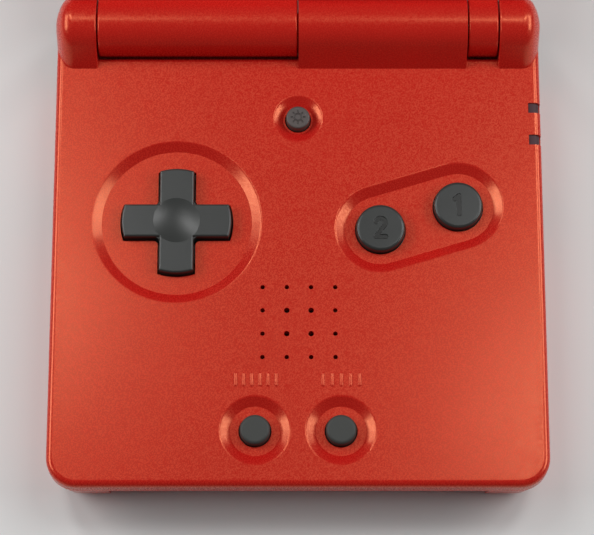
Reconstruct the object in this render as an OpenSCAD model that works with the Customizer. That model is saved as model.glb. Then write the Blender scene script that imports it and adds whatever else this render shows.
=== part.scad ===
// Clamshell handheld console with its lid folded open.
// Origin: centre of the rest face. +X is the player's right, +Y points to the hinge, +Z is up.

/* [Base] */
// Width of the base and of the lid
body_w = 82; // [81:0.5:88]
// Depth of the base, from its front edge to the back of the hinge
body_d = 84.6; // [84:0.2:90]
// Height of the control face above the rest face
base_h = 13.6; // [13.5:0.1:14.6]
// Height of the upper shell's side wall
rim_h = 3.3; // [3:0.1:3.6]
// Corner radius of base and lid, seen from above
corner_r = 5; // [4.8:0.1:7]
// Rounding between the control face and the side wall
deck_round = 1.1; // [0.6:0.1:1.4]
// Rounding along the lower edge of the base
bottom_round = 3.2; // [2.4:0.2:3.6]
// Inward lean of the lower shell's walls, in degrees
lean = 10; // [5:1:12]
// Wall thickness of all shells
wall = 1.5; // [1.3:0.1:1.7]
// Thickness of the lower shell's floor
floor_t = 1.4; // [1.2:0.1:1.6]
// Thickness of the control face
deck_t = 2; // [1.8:0.1:2.2]
// Room between the control face and the main board
button_room = 2.8; // [2.7:0.1:3]
// Thickness of the main board
board_t = 0.8; // [0.6:0.1:1]
// Gap between the main board and the side and front walls
board_gap = 1.6; // [1.2:0.1:1.8]
// Distance from the main board's rear edge to the hinge axis
board_back = 3.4; // [3:0.1:4]

/* [Hinge] */
// Radius of the centre barrel and of the end caps
barrel_r = 5.15; // [5.1:0.05:5.4]
// Height of the hinge axis above the control face
axis_rise = 1.4; // [1.2:0.1:1.8]
// Radius of the lid's knuckles
knuckle_r = 5; // [4.8:0.05:5.1]
// Gap between the lid's knuckles and their trough
trough_gap = 0.35; // [0.3:0.05:0.45]
// Thickness of the trough's wall
trough_t = 1; // [0.9:0.1:1.1]
// Rounding of the trough's front edge
trough_round = 0.8; // [0.5:0.1:1]
// Length of an end cap along the axis
cap_len = 7.1; // [6.5:0.1:7.5]
// How far an end cap stands out past the side wall
cap_bulge = 0.1; // [0:0.05:0.3]
// Height of the end caps' lower edge above the plane where the base shells meet
cap_lift = 0.4; // [0.3:0.1:1]
// Radius of the dome that closes an end cap
cap_dome_r = 8; // [7:0.5:10]
// Rounding between the dome and the cap's barrel
cap_edge_r = 2.2; // [1.8:0.1:2.6]
// Slope of the feet that carry the barrel and the caps, in degrees
foot_slope = 58; // [54:1:62]
// Distance from the middle of the base to the left end of the centre barrel
barrel_x = 0.1; // [0:0.1:1]
// Length of the centre barrel
barrel_len = 28.5; // [27:0.5:29]
// Gap between neighbouring knuckles along the axis
hinge_gap = 0.2; // [0.15:0.05:0.3]
// Rounding of the knuckles' end edges
knuckle_edge = 0.35; // [0.2:0.05:0.5]
// Bore of the left knuckle, where the rolled display cable lies
cable_bore = 7; // [6.4:0.2:7.2]
// Diameter of the hinge pin and of the clutch's shaft
pin_d = 3.2; // [2.8:0.1:3.6]
// Diameter of the clutch's case
clutch_d = 6.6; // [6:0.1:7]
// Length of the clutch's case
clutch_len = 14; // [12:0.5:16]
// Thickness of the clutch case's closed end
clutch_end = 2; // [1.5:0.1:2.5]
// Reach of the hinge pin into the left knuckle
pin_reach = 4; // [3:0.5:5]
// Free space past the end of a pin or shaft
pin_end_gap = 0.3; // [0.2:0.05:0.5]
// Running gap around a turning pin
pin_gap = 0.05; // [0.03:0.01:0.1]
// Middle of the rolled display cable from the middle line
cable_x = -17; // [-18:0.5:-15]
// Width of the display cable
cable_w = 10; // [8:0.5:12]
// Thickness of the display cable's layers
cable_t = 0.2; // [0.15:0.05:0.3]
// Wall of the cable's rolled part
cable_roll_t = 0.9; // [0.6:0.1:1.2]
// Depth of the cable's connector
cable_plug_d = 3; // [2.5:0.1:3.5]
// Height of the cable's connector
cable_plug_h = 1.4; // [1.2:0.1:1.6]
// Angle between the control face and the screen in the open position
lid_open = 145; // [90:5:175]

/* [Lid] */
// Thickness of the lid
lid_t = 10; // [9.8:0.1:11]
// Distance from the axis to the lid's inner face
lid_inset = 0.6; // [0.5:0.05:0.7]
// Distance from the axis to the lid's end wall
lid_root = 7.4; // [7.3:0.1:8]
// Height of the inner frame's side wall
lid_rim_h = 3.2; // [3.1:0.1:3.8]
// Rounding of the lid's inner edge
lid_inner_round = 0.8; // [0.4:0.1:1.2]
// Rounding of the lid's outer edge
lid_outer_round = 3; // [2:0.2:3.4]
// Thickness of the inner frame's face
lid_face_t = 2; // [1.8:0.1:2.2]
// Rounding in the corner between a knuckle and its neck
neck_round = 0.6; // [0.3:0.1:0.8]
// Width of the screen's lens
lens_w = 72; // [68:0.5:73]
// Height of the screen's lens
lens_h = 55; // [50:0.5:57]
// Thickness of the lens
lens_t = 0.9; // [0.8:0.1:1]
// How deep the lens lies below the inner face
lens_sink = 0.55; // [0.5:0.05:0.7]
// Corner radius of the lens's seat
lens_corner = 3; // [2:0.5:4]
// Width of the visible screen
screen_w = 61.2; // [58:0.2:62]
// Height of the visible screen
screen_h = 40.8; // [38:0.2:42]
// Border of the display's parts around the visible screen
display_border = 2.4; // [2:0.2:3]
// Gap between the visible screen and the edge of the frame's window
window_gap = 1; // [0.6:0.1:1.4]
// Corner radius of the window and of the display's parts
display_corner = 1; // [0.6:0.1:1.5]
// Thickness of the light guide
guide_t = 1.2; // [1:0.1:1.4]
// Thickness of the display panel
panel_t = 1.8; // [1.6:0.1:2]
// Thickness of the gasket between the frame and the light guide
gasket_t = 0.4; // [0.3:0.1:0.5]

/* [Direction pad] */
// Centre of the pad from the middle line
pad_x = -20.25; // [-21:0.05:-20]
// Centre of the pad from the middle of the depth
pad_y = 2.9; // [1:0.1:4]
// Radius of an arm's end
pad_r = 9.15; // [8.8:0.05:9.3]
// Width of an arm
arm_w = 5.7; // [5.4:0.1:6]
// Rounding in the corners between the arms
arm_corner = 0.7; // [0.4:0.1:0.9]
// Rounding of the pad's upper edges
pad_edge = 0.35; // [0.2:0.05:0.5]
// Diameter of the hollow in the middle of the pad
hollow_d = 7.8; // [7:0.2:8.4]
// Depth of that hollow
hollow_depth = 0.45; // [0.3:0.05:0.6]
// Radius of the pad's flange below the control face
pad_flange_r = 7.4; // [7:0.1:7.6]
// Radius of the flat floor of the pad's recess
pad_floor_r = 12.55; // [12:0.05:13]
// Radius of the ball that the pad rocks on
rock_r = 0.9; // [0.8:0.05:0.95]
// Tilt of the pad to each side, in degrees
pad_tilt = 3; // [2:0.5:3]
// Distance of the membrane's domes from the pad's middle
pad_dome_x = 5.9; // [5.4:0.1:6]
// Radius of the domes under the pad
pad_dome_r = 1.5; // [1.2:0.1:1.8]
// Radius of the pad's membrane
pad_sheet_r = 10.2; // [9.6:0.1:10.6]

/* [Action buttons] */
// Left action button from the middle line
left_button_x = 13.75; // [13.5:0.05:14.5]
// Left action button from the middle of the depth
left_button_y = 1.65; // [1:0.05:2.5]
// Distance between the two action buttons
button_pitch = 13.6; // [13:0.1:14]
// Slope of the line through both buttons, in degrees
button_slope = 17; // [12:0.5:20]
// Diameter of an action button
button_d = 8.1; // [7.6:0.05:8.3]
// Rounding of an action button's top edge
button_edge = 0.5; // [0.3:0.05:0.7]
// Travel of an action button
button_travel = 0.8; // [0.6:0.05:0.8]
// Radius of the flat floor of the buttons' recess
button_floor_r = 5.95; // [5.7:0.05:6.2]
// Radius of the domes under the action buttons
button_dome_r = 2.4; // [2:0.1:3]

/* [Small round buttons] */
// Distance between the two small round buttons
small_pitch = 14.05; // [13.6:0.05:14.4]
// Small round buttons from the front edge
small_front = 9.4; // [9.1:0.1:10.3]
// Diameter of a small round button
small_d = 5; // [4.6:0.1:5.2]
// Rounding of a small round button's top edge
small_edge = 0.6; // [0.3:0.1:0.9]
// Travel of a small button
small_travel = 0.6; // [0.4:0.05:0.7]
// Radius of the flat floor of a small button's recess
small_floor_r = 4.15; // [3.9:0.05:4.3]
// Radius of the domes under the small buttons
small_dome_r = 1.6; // [1.2:0.1:2]
// Half the width of the small buttons' membrane
small_sheet = 2.6; // [2.2:0.1:2.6]

/* [Light button] */
// Light button from the middle of the depth
light_y = 21.2; // [20:0.1:21.6]
// Diameter of the light button
light_d = 4; // [3.8:0.1:4.2]
// Radius of the light recess's floor
light_floor_r = 2.5; // [2.4:0.05:2.7]
// Rounding of the light button's top edge
light_edge = 0.3; // [0.2:0.05:0.5]
// Width of the light switch's body
light_switch_w = 4; // [3:0.2:5]
// Radius of the light switch's plunger
light_plunger_r = 1.2; // [0.8:0.1:1.4]
// Height of the light switch's plunger above its body
light_plunger_h = 0.4; // [0.3:0.05:0.6]

/* [Recesses and fits] */
// Depth of the recesses around the buttons
recess_depth = 1; // [0.8:0.05:1.05]
// Width of a recess's sloped wall
recess_wall = 1.75; // [1.6:0.05:2]
// Rounding of a recess's outer edge
recess_round = 0.6; // [0.4:0.05:0.7]
// How high the buttons stand above the control face
button_proud = 0.6; // [0.4:0.05:0.65]
// Gap between a button and its hole
button_gap = 0.2; // [0.15:0.05:0.3]
// Gap between the pad and its hole
pad_gap = 0.3; // [0.25:0.05:0.35]
// Width of a button's flange past its stem
flange_w = 0.8; // [0.6:0.1:1]
// Thickness of the flanges
flange_t = 0.7; // [0.6:0.05:0.75]
// Gap between two parts that only lie close together
loose = 0.1; // [0.08:0.01:0.15]
// Thickness of the rubber membranes
membrane_t = 0.3; // [0.25:0.05:0.35]

/* [Speaker] */
// Speaker from the middle line
speaker_x = 0.15; // [0:0.05:0.5]
// Speaker from the middle of the depth
speaker_y = -14.6; // [-15:0.1:-14]
// Distance between neighbouring speaker holes
hole_pitch = 4; // [3.6:0.1:4.2]
// Number of holes in a row and in a column
hole_count = 4; // [3:1:4]
// Diameter of the outer speaker holes
hole_d = 0.75; // [0.6:0.05:0.9]
// Diameter of the inner speaker holes
inner_hole_d = 0.92; // [0.8:0.02:1]
// Diameter of the speaker
speaker_d = 17; // [16:0.5:18]
// Diameter of the speaker's magnet
magnet_d = 9.4; // [8:0.2:11]
// Height of the magnet below the speaker's basket
magnet_h = 1; // [0.6:0.1:1.4]
// Curve radius of the speaker's cone
cone_r = 20; // [18:1:30]
// Depth of the speaker's cone
cone_depth = 0.6; // [0.4:0.1:0.8]

/* [Cartridge slot] */
// Width of the slot's mouth
mouth_w = 62; // [61:0.2:63]
// Depth of the slot's mouth
mouth_d = 5; // [4.6:0.1:5.1]
// Width of the cartridge's bay
bay_w = 58.6; // [58:0.2:59.2]
// Depth of mouth and bay together
bay_d = 35; // [34.8:0.1:36]
// Thickness of the bay's walls
bay_wall = 1; // [0.8:0.1:1.1]
// Thickness of the bay's roof
bay_roof = 0.7; // [0.6:0.1:0.9]
// Depth of the open strip below the mouth
strip_d = 4; // [3:0.5:5]
// Radius of the finger notch below the mouth
notch_r = 14; // [10:0.5:16]
// Depth of the finger notch past the open strip
notch_d = 3; // [2:0.5:4]
// Depth of the cartridge connector
connector_d = 4.6; // [4:0.1:4.8]
// Distance between the connector's ends and the bay's sides
connector_in = 2; // [1:0.5:3]
// Wall around the connector's mouth
connector_wall = 1.4; // [1:0.1:1.6]
// Height of the connector's mouth
connector_mouth = 1.6; // [1.2:0.1:2]

/* [Battery] */
// Distance from the base's side wall to the battery
battery_side = 11.4; // [11.2:0.1:12]
// Distance from the cartridge bay's end to the battery
battery_front = 6.7; // [6.5:0.1:7.3]
// Width of the battery
battery_w = 34; // [33:0.5:34]
// Distance from the battery to the ports
battery_back = 2.5; // [2.5:0.1:3.5]
// Height of the battery
battery_t = 5.5; // [5:0.1:5.6]
// Gap around the battery
battery_gap = 0.3; // [0.2:0.05:0.4]
// Corner radius of the battery
battery_corner = 1.5; // [1:0.5:2.5]
// Width of the seat that the battery cover lies on
cover_seat = 0.8; // [0.6:0.1:0.9]
// Width of the strip beside the battery that the cover's screw goes through
cover_strip = 6; // [5.6:0.2:7]
// Corner radius of the battery cover's opening
cover_corner = 2; // [1:0.5:3]
// Height of the cover screw's head
cover_head_h = 0.8; // [0.6:0.05:0.9]
// Length of the cover screw below its head
cover_screw_len = 3.6; // [3:0.2:5]
// Number of grip grooves in the battery cover
groove_count = 5; // [3:1:7]
// Distance between neighbouring grip grooves
groove_pitch = 1.5; // [1.2:0.1:2]
// Width of a grip groove
groove_w = 0.6; // [0.4:0.1:0.9]
// Depth of a grip groove
groove_depth = 0.3; // [0.2:0.05:0.4]
// Length of the grip grooves
groove_len = 12; // [8:1:16]
// Width of a battery contact
contact_w = 2; // [1.6:0.1:2.4]
// Distance between neighbouring battery contacts
contact_pitch = 5; // [4:0.5:6]
// Thickness of a battery contact
contact_t = 0.4; // [0.3:0.05:0.5]
// Lower end of the contacts above the battery's underside
contact_rise = 1; // [0.6:0.1:2]

/* [Ports] */
// Middle of the link port from the middle line
link_x = -12.5; // [-13:0.5:-11]
// Width of the link port
link_w = 15; // [13:0.5:16]
// Middle of the charge port from the middle line
charge_x = 5; // [4:0.5:8]
// Width of the charge port
charge_w = 9; // [8:0.5:10]
// Height of both ports
port_h = 4.6; // [4.2:0.1:4.8]
// Depth of both ports
port_d = 9; // [8:0.5:10]
// How far both ports lie behind the back wall's face
port_sink = 1.4; // [1.2:0.1:1.8]
// Wall around a port's socket
port_wall = 0.65; // [0.5:0.05:0.8]
// Thickness of a port's inner end
port_end = 1.5; // [1:0.1:2]

/* [Edge parts] */
// Distance from the side wall to the shoulder buttons' pins
shoulder_pin_in = 18.3; // [17:0.1:19]
// Length of a shoulder button along the side wall
shoulder_side = 9.4; // [8:0.2:10]
// Lower edge of the shoulder buttons above the rest face
shoulder_z = 2.9; // [2.7:0.1:3.2]
// Height of the shoulder buttons
shoulder_h = 5.4; // [5:0.1:5.4]
// Wall thickness of the shoulder buttons
shoulder_t = 1.6; // [1.4:0.1:1.8]
// Turn of a pressed shoulder button, in degrees
shoulder_turn = 2.5; // [1.5:0.5:3]
// Diameter of the shoulder buttons' pins
shoulder_pin_d = 1.5; // [1.2:0.1:1.6]
// Gap around a shoulder button
shoulder_gap = 0.25; // [0.2:0.05:0.3]
// Gap in front of a shoulder button, which it needs to turn
shoulder_front_gap = 1; // [1:0.1:1.2]
// Height of a shoulder button's spring
spring_h = 1.5; // [1.4:0.1:1.8]
// Wire of a shoulder button's spring
spring_wire = 0.4; // [0.3:0.05:0.45]
// Length of the spring's leg
spring_leg = 7; // [5:0.5:8]
// Distance from the side wall to the middle of a shoulder button's switch
shoulder_switch_in = 8.3; // [8:0.1:10]
// Width of a shoulder button's switch
shoulder_switch_w = 5.5; // [4:0.5:6]
// Depth of a shoulder button's switch
shoulder_switch_d = 4; // [3:0.5:4.5]
// Diameter of the switch's plunger
plunger_d = 1.6; // [1.2:0.1:2]
// Length of the switch's plunger
plunger_len = 1.2; // [1:0.1:1.5]
// Power switch and volume slider from the middle of the depth
slider_y = 9; // [8:0.5:10]
// Height of the sliders' middle above the rest face
slider_z = 6.2; // [6:0.1:6.4]
// Travel of the power switch
power_travel = 2.5; // [2:0.1:3]
// Travel of the volume slider
volume_travel = 5.5; // [4:0.5:6]
// Depth of the sliders' tracks in the side wall
track_in = 1.7; // [1.6:0.05:1.8]
// Length of a slider's knob
knob_len = 5.6; // [5:0.2:6]
// Height of a slider's knob
knob_h = 2.6; // [2.2:0.1:2.8]
// How far the knobs stand out past the side wall's widest line
knob_proud = 0.5; // [0.3:0.1:0.7]
// Length of a knob's stem along the wall
stem_len = 2.4; // [2:0.1:3]
// Thickness of a knob's stem
stem_h = 1; // [0.8:0.1:1.2]
// Reach of a knob's stem into the base
stem_reach = 2.2; // [1.8:0.1:2.4]
// Distance between neighbouring grooves of a knob
rib_pitch = 1; // [0.8:0.1:1.1]
// Width and depth of a knob's grooves
rib_gap = 0.35; // [0.25:0.05:0.45]
// Thickness of the switch bodies behind the knobs
slider_body_t = 3; // [2.5:0.1:3.5]
// Length of the power switch's body
power_body_len = 9; // [8:0.5:11]
// Length of the volume control's body
volume_body_len = 12; // [11:0.5:14]
// Distance from the hinge axis to the rear light window
led_back = 14.05; // [13.1:0.05:15]
// Distance between the two light windows
led_pitch = 5.7; // [5:0.1:6]
// Width of a light window
led_w = 1.8; // [1.4:0.1:2.2]
// How far a light window reaches in from the side wall
led_in = 2.1; // [1.6:0.1:2.4]
// How deep a light window lies below the shell's face
led_sink = 0.25; // [0.15:0.05:0.3]

/* [Screws] */
// Distance from the side wall to the case screws
screw_in = 6.8; // [6.4:0.1:7]
// Distance from the front edge to the front case screws
screw_front = 7; // [6.8:0.1:7.3]
// Middle case screws from the middle of the depth
screw_mid_y = -2; // [-3:0.1:-1.6]
// Distance from the hinge axis to the rear case screws
screw_rear = 10.15; // [9.75:0.1:11.15]
// Diameter of the screws' heads
head_d = 3.4; // [3:0.1:3.6]
// Height of the screws' heads
head_h = 1.2; // [1:0.1:1.3]
// Diameter of the screws' shanks
shank_d = 1.7; // [1.4:0.1:1.8]
// Diameter of the screw bosses
boss_d = 4.4; // [4.2:0.1:4.6]
// Width of the slots in the screws' heads
cross_w = 0.4; // [0.3:0.05:0.5]
// Depth of the slots in the screws' heads
cross_depth = 0.5; // [0.3:0.05:0.6]
// How deep the case screws' heads lie in the lower shell
screw_sink = 0.5; // [0.4:0.1:0.7]
// Depth of the lid screws' seats below the lid's inner face
lid_head_depth = 1.9; // [1.8:0.1:2.1]
// Lid screws from the lid's outline
lid_screw_in = 4.6; // [4.4:0.1:4.7]
// How high the rubber screw covers stand out of the lid's face
cover_proud = 0.5; // [0.3:0.05:0.6]

/* [Hidden] */
$fn = 64;
over = 1;                                   // how far a cut runs past the face that it opens
tuck = 0.002;                               // how far round and flat faces that would only touch cross
dome_overlap = 10;                          // degrees by which a cap's rounded edge runs under its dome
part_z = base_h - rim_h;                    // plane where the two base shells meet
axis_y = body_d / 2 - barrel_r;
axis_z = base_h + axis_rise;
trough_r = knuckle_r + trough_gap;
trough_low = axis_z - trough_r - trough_t;  // underside of the trough's wall
deck_under = base_h - deck_t;
recess_z = base_h - recess_depth;
board_top = deck_under - button_room;
board_z = board_top - board_t;
bay_top = board_z - bay_roof;
cap_x = body_w / 2 + cap_bulge - cap_len;   // inner end of the right cap
barrel_end = barrel_x + barrel_len;
front_y = -body_d / 2;
mouth_y = front_y + mouth_d;
bay_y = front_y + bay_d;
small_y = front_y + small_front;
port_y = body_d / 2 - port_d - port_sink;
battery_x = body_w / 2 - battery_side - battery_w / 2;
battery_y = bay_y + battery_front;
battery_d = port_y - battery_back - battery_y;
cover_w = battery_w + 2 * (battery_gap + cover_seat) + cover_strip;
cover_d = battery_d + 2 * (battery_gap + cover_seat);
cover_x = battery_x - cover_strip / 2;
battery_mid_y = battery_y + battery_d / 2;
cover_screw_x = battery_x - battery_w / 2 - battery_gap - bay_wall - boss_d / 2;
battery_z = floor_t + loose;
lid_z = axis_z - lid_inset;
lid_rear = axis_y - lid_root;
lid_d = lid_rear - front_y;
lid_mid = (lid_rear + front_y) / 2;
lid_part_z = lid_z + lid_rim_h;
lid_top = lid_z + lid_t;
button_top = base_h + button_proud;
flange_top = deck_under - loose;
rock_z = board_top + rock_r + loose;
board_front = front_y + wall + board_gap;
board_rear = axis_y - board_back;
board_mid = (board_front + board_rear) / 2;
plug_y = board_rear - 3 * cable_plug_d;
board_d = board_rear - board_front;
led_y = axis_y - led_back;
shoulder_pin_x = body_w / 2 - shoulder_pin_in;
shoulder_switch_x = body_w / 2 - shoulder_switch_in;
shoulder_pin_y = body_d / 2 + cap_bulge - shoulder_t - shoulder_pin_d + 3 * loose;
pad_flange_z = flange_top - flange_t - pad_flange_r * sin(pad_tilt) * sqrt(2);
case_screw_spots = [for (y = [front_y + screw_front, screw_mid_y, axis_y - screw_rear]) for (s = [-1, 1])
    [s * (body_w / 2 - screw_in), y]];
lid_screw_spots = concat(
    [for (s = [-1, 0, 1]) [s * (body_w / 2 - lid_screw_in), front_y + lid_screw_in]],
    [for (s = [-1, 1]) [s * (body_w / 2 - lid_screw_in), lid_rear - lid_screw_in]]);
paint = [0.72, 0.20, 0.14];
key_grey = [0.28, 0.28, 0.27];
dark_plastic = [0.13, 0.13, 0.14];
steel = [0.72, 0.72, 0.74];
film = [0.8, 0.5, 0.2];

// Slice of a disc between two directions
module slice(r, from, to) {
    intersection() {
        circle(r);
        polygon([[0, 0], 3 * r * [cos(from), sin(from)], 3 * r * [cos(to), sin(to)]]);
    }
}

// Upright half section of a slab: rounded above and below, its wall leaning inwards by tilt
module edge_section(half, h, top_r, bottom_r, tilt) {
    cut = tilt > 0 ? tuck : 0;
    mid = half - (bottom_r - cut + (h - bottom_r) * sin(tilt)) / cos(tilt);
    touch_z = bottom_r * (1 - sin(tilt));
    touch = [half - (h - touch_z) * tan(tilt), touch_z];
    low = bottom_r > 0 ? [[0, 0], [mid, 0], [mid, bottom_r], touch] : [[0, 0], [half - h * tan(tilt), 0]];
    high = top_r > 0 ? [[half, h - top_r], [half - top_r, h - top_r], [half - top_r, h]] : [[half, h]];
    polygon(concat(low, high, [[0, h]]));
    if (bottom_r > 0)
        translate([mid, bottom_r]) slice(bottom_r, -90, -tilt / 2);
    if (top_r > 0)
        translate([half - top_r, h - top_r]) slice(top_r, 0, 90);
}

// Slab with rounded corners and edges, centred on the origin, standing on z = 0
module slab(w, d, h, corner, top_r = 0, bottom_r = 0, tilt = 0) {
    for (turn = [0 : 3]) {
        side_x = (turn == 0 || turn == 3) ? 1 : -1;
        side_y = turn < 2 ? 1 : -1;
        translate([side_x * (w / 2 - corner), side_y * (d / 2 - corner), 0])
            rotate([0, 0, 90 * turn])
                rotate_extrude(angle = 90) edge_section(corner, h, top_r, bottom_r, tilt);
    }
    for (turn = [0, 180])
        rotate([0, 0, turn]) {
            translate([-(w / 2 - corner), 0, 0])
                rotate([90, 0, 90])
                    linear_extrude(w - 2 * corner) half_section(d / 2, corner, h, top_r, bottom_r, tilt);
            translate([0, d / 2 - corner, 0])
                rotate([90, 0, 0])
                    linear_extrude(d - 2 * corner) half_section(w / 2, corner, h, top_r, bottom_r, tilt);
        }
}

// The section of a slab's corner, carried on to the slab's middle
module half_section(half, corner, h, top_r, bottom_r, tilt) {
    square([half - corner, h]);
    translate([half - corner, 0]) edge_section(corner, h, top_r, bottom_r, tilt);
}

// Round solid with a rounded upper edge, standing on z = 0
module round_key(d, h, edge) {
    rotate_extrude() edge_section(d / 2, h, edge, 0, 0);
}

// Half section of a recess: flat floor, sloped wall, and a rounded edge at the control face
module recess_section(floor_r) {
    edge_x = floor_r + recess_wall;
    reach = norm([recess_wall, recess_depth - recess_round]);
    slope = atan2(recess_depth - recess_round, recess_wall) + asin(recess_round / reach);
    run = sqrt(reach * reach - recess_round * recess_round);
    touch = [floor_r + run * cos(slope), -recess_depth + run * sin(slope)];
    difference() {
        polygon([[0, -recess_depth], [floor_r, -recess_depth], touch,
            [edge_x, touch[1]], [edge_x, over], [0, over]]);
        translate([edge_x, -recess_round]) circle(recess_round);
    }
}

// Round recess cut into the control face
module recess(floor_r) {
    translate([0, 0, base_h]) rotate_extrude() recess_section(floor_r);
}

// Long recess with round ends, from the origin to a point along +X
module long_recess(floor_r, length) {
    translate([0, 0, base_h]) {
        rotate([0, 0, 90]) rotate_extrude(angle = 180) recess_section(floor_r);
        translate([length, 0, 0])
            rotate([0, 0, -90]) rotate_extrude(angle = 180) recess_section(floor_r);
        rotate([90, 0, 90])
            linear_extrude(length) {
                recess_section(floor_r);
                mirror([1, 0]) recess_section(floor_r);
            }
    }
}

// Moves what is drawn around the origin to the line between the action buttons
module at_action_buttons() {
    translate([left_button_x, left_button_y, 0]) rotate([0, 0, button_slope]) children();
}

// Draws something at both action buttons
module each_action_button() {
    for (i = [0, 1]) at_action_buttons() translate([i * button_pitch, 0, 0]) children();
}

// Outline of the pad: four arms with arc ends and rounded inner corners
module pad_outline(grow) {
    half = arm_w / 2 + grow;
    fillet = arm_corner;
    intersection() {
        circle(pad_r + grow);
        union() {
            square([2 * half, 3 * pad_r], center = true);
            square([3 * pad_r, 2 * half], center = true);
            for (turn = [0 : 90 : 270])
                rotate(turn)
                    difference() {
                        translate([half - fillet, half - fillet]) square(2 * fillet);
                        translate([half + fillet, half + fillet]) circle(fillet);
                    }
        }
    }
}

// Turns a section drawn as (distance along the axis, radius) around the hinge axis
module around_axis() {
    translate([0, axis_y, axis_z])
        rotate([0, 90, 0])
            rotate_extrude() rotate(90) mirror([0, 1]) children();
}

// Half section of a barrel from x0 to x1 with rounded end edges, drawn as (x, radius)
module barrel_section(x0, x1, r, edge) {
    polygon([[x0, 0], [x0, r - edge], [x0 + edge, r - edge], [x0 + edge, r], [x1 - edge, r],
        [x1 - edge, r - edge], [x1, r - edge], [x1, 0]]);
    translate([x0 + edge, r - edge]) slice(edge, 90, 180);
    translate([x1 - edge, r - edge]) slice(edge, 0, 90);
}

// Half section of an end cap with its dome, drawn as (x, radius) and smaller by less all round
module cap_section(less = 0) {
    r = barrel_r - less;
    rise = r - cap_edge_r;
    mid = body_w / 2 + cap_bulge - less - cap_dome_r;
    edge_x = mid + sqrt(pow(cap_dome_r - cap_edge_r, 2) - rise * rise);
    far = 2 * cap_dome_r / (cap_dome_r - cap_edge_r);
    inner = cap_x + knuckle_edge;
    polygon([[cap_x, 0], [cap_x, r - knuckle_edge], [inner, r - knuckle_edge],
        [inner, r], [edge_x, r], [edge_x, 0]]);
    translate([inner, r - knuckle_edge]) slice(knuckle_edge, 90, 180);
    translate([edge_x, rise]) slice(cap_edge_r, atan2(rise, edge_x - mid) - dome_overlap, 90);
    intersection() {
        translate([mid, 0]) circle(cap_dome_r - tuck);
        polygon([[edge_x, 0], [edge_x, rise], [mid + (edge_x - mid) * far, rise * far],
            [body_w, 0]]);
    }
}

// Both halves of a section that is drawn as (x, radius)
module mirrored() {
    children();
    mirror([0, 1]) children();
}

// Right end cap: the section turned around the axis, with a sloped front foot and an upright
// back that have the same rounded outer end, cut off just above the plane where the shells meet
module end_cap() {
    reach = 2 * barrel_r;
    intersection() {
        union() {
            around_axis() cap_section();
            for (slope = [90 + foot_slope, 180])
                translate([0, axis_y, axis_z])
                    rotate([slope, 0, 0]) linear_extrude(reach) mirrored() cap_section(tuck);
        }
        translate([0, 0, part_z + cap_lift]) cube([body_w, body_d, 2 * base_h]);
    }
}

// Side view of the centre barrel on its sloped foot, drawn as (y, z) from the axis
module footed_section() {
    reach = 2 * barrel_r;
    half = barrel_r - tuck;
    intersection() {
        union() {
            circle(barrel_r);
            for (turn = [foot_slope - 90, 0])
                rotate(turn) translate([-half, -reach]) square([2 * half, reach]);
        }
        translate([-2 * reach, part_z - axis_z]) square(4 * reach);
    }
}

// Side view of the trough's cut, drawn as (y, z) from the axis
module trough_cut_section() {
    mid_z = tuck - axis_rise - trough_round;
    mid_y = -sqrt(pow(trough_r + trough_round - tuck, 2) - mid_z * mid_z);
    circle(trough_r);
    translate([0, tuck - trough_r]) square([3 * barrel_r, 3 * barrel_r]);
    difference() {
        polygon([[mid_y, over - axis_rise], [mid_y, mid_z], [0, 0]]);
        translate([mid_y, mid_z]) circle(trough_round);
    }
}

// Extrudes a side view, drawn as (y, z), from x0 to x1
module along_x(x0, x1) {
    translate([x0, 0, 0]) rotate([90, 0, 90]) linear_extrude(x1 - x0) children();
}

// Hollow of the lower shell, open at the plane where the shells meet
module lower_hollow() {
    translate([0, 0, floor_t])
        slab(body_w - 2 * wall, body_d - 2 * wall, part_z - floor_t, corner_r - wall,
            0, bottom_round - wall, lean);
}

// Space of a shoulder button's shell, grown by gap; side is 1 on the right and -1 on the left
module shoulder_space(gap, front_gap) {
    inner = shoulder_pin_x - shoulder_pin_d - gap;
    translate([inner, axis_y + barrel_r - shoulder_side - front_gap, shoulder_z - gap])
        cube([body_w, 2 * shoulder_side, shoulder_h + 2 * gap]);
}

// Upper shell of the base: control face, recesses, hinge trough, centre barrel and end caps
module base_upper_shell() {
    color(paint) difference() {
        upper_body();
        hinge_bores();
        for (spot = case_screw_spots)
            translate([spot[0], spot[1], board_z - over])
                cylinder(d = shank_d + 2 * pin_gap, h = deck_under - board_z + over);
    }
}

// Upper shell before its bores are made
module upper_body() {
    difference() {
        union() {
            control_face();
            trough_body();
            translate([0, axis_y, axis_z]) along_x(barrel_x, barrel_end) footed_section();
            for (side = [0, 1]) mirror([side, 0, 0]) end_cap();
            for (spot = case_screw_spots)
                translate([spot[0], spot[1], board_z]) cylinder(d = boss_d, h = deck_under - board_z + loose);
        }
        translate([0, axis_y, axis_z]) {
            along_x(-cap_x - tuck, barrel_x) trough_cut_section();
            along_x(barrel_end, cap_x + tuck) trough_cut_section();
        }
    }
}

// Control face with its side walls, recesses and holes
module control_face() {
    difference() {
        translate([0, 0, part_z]) slab(body_w, body_d, rim_h, corner_r, deck_round);
        translate([0, 0, part_z - over])
            slab(body_w - 2 * wall, body_d - 2 * wall, rim_h - deck_t + over, corner_r - wall);
        upper_shell_holes();
        light_window_cuts();
    }
}

// Wall that closes the base below the trough, before the trough is cut into it
module trough_body() {
    back = body_d / 2 - (part_z - trough_low) * tan(lean) - axis_y;
    translate([0, axis_y, axis_z])
        along_x(-cap_x - trough_t, cap_x + trough_t)
            difference() {
                union() {
                    circle(trough_r + trough_t);
                    translate([0, tuck - trough_r - trough_t]) square([back, trough_r]);
                }
                translate([-2 * barrel_r, -axis_rise - deck_round]) square([4 * barrel_r, 4 * barrel_r]);
            }
}

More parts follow.
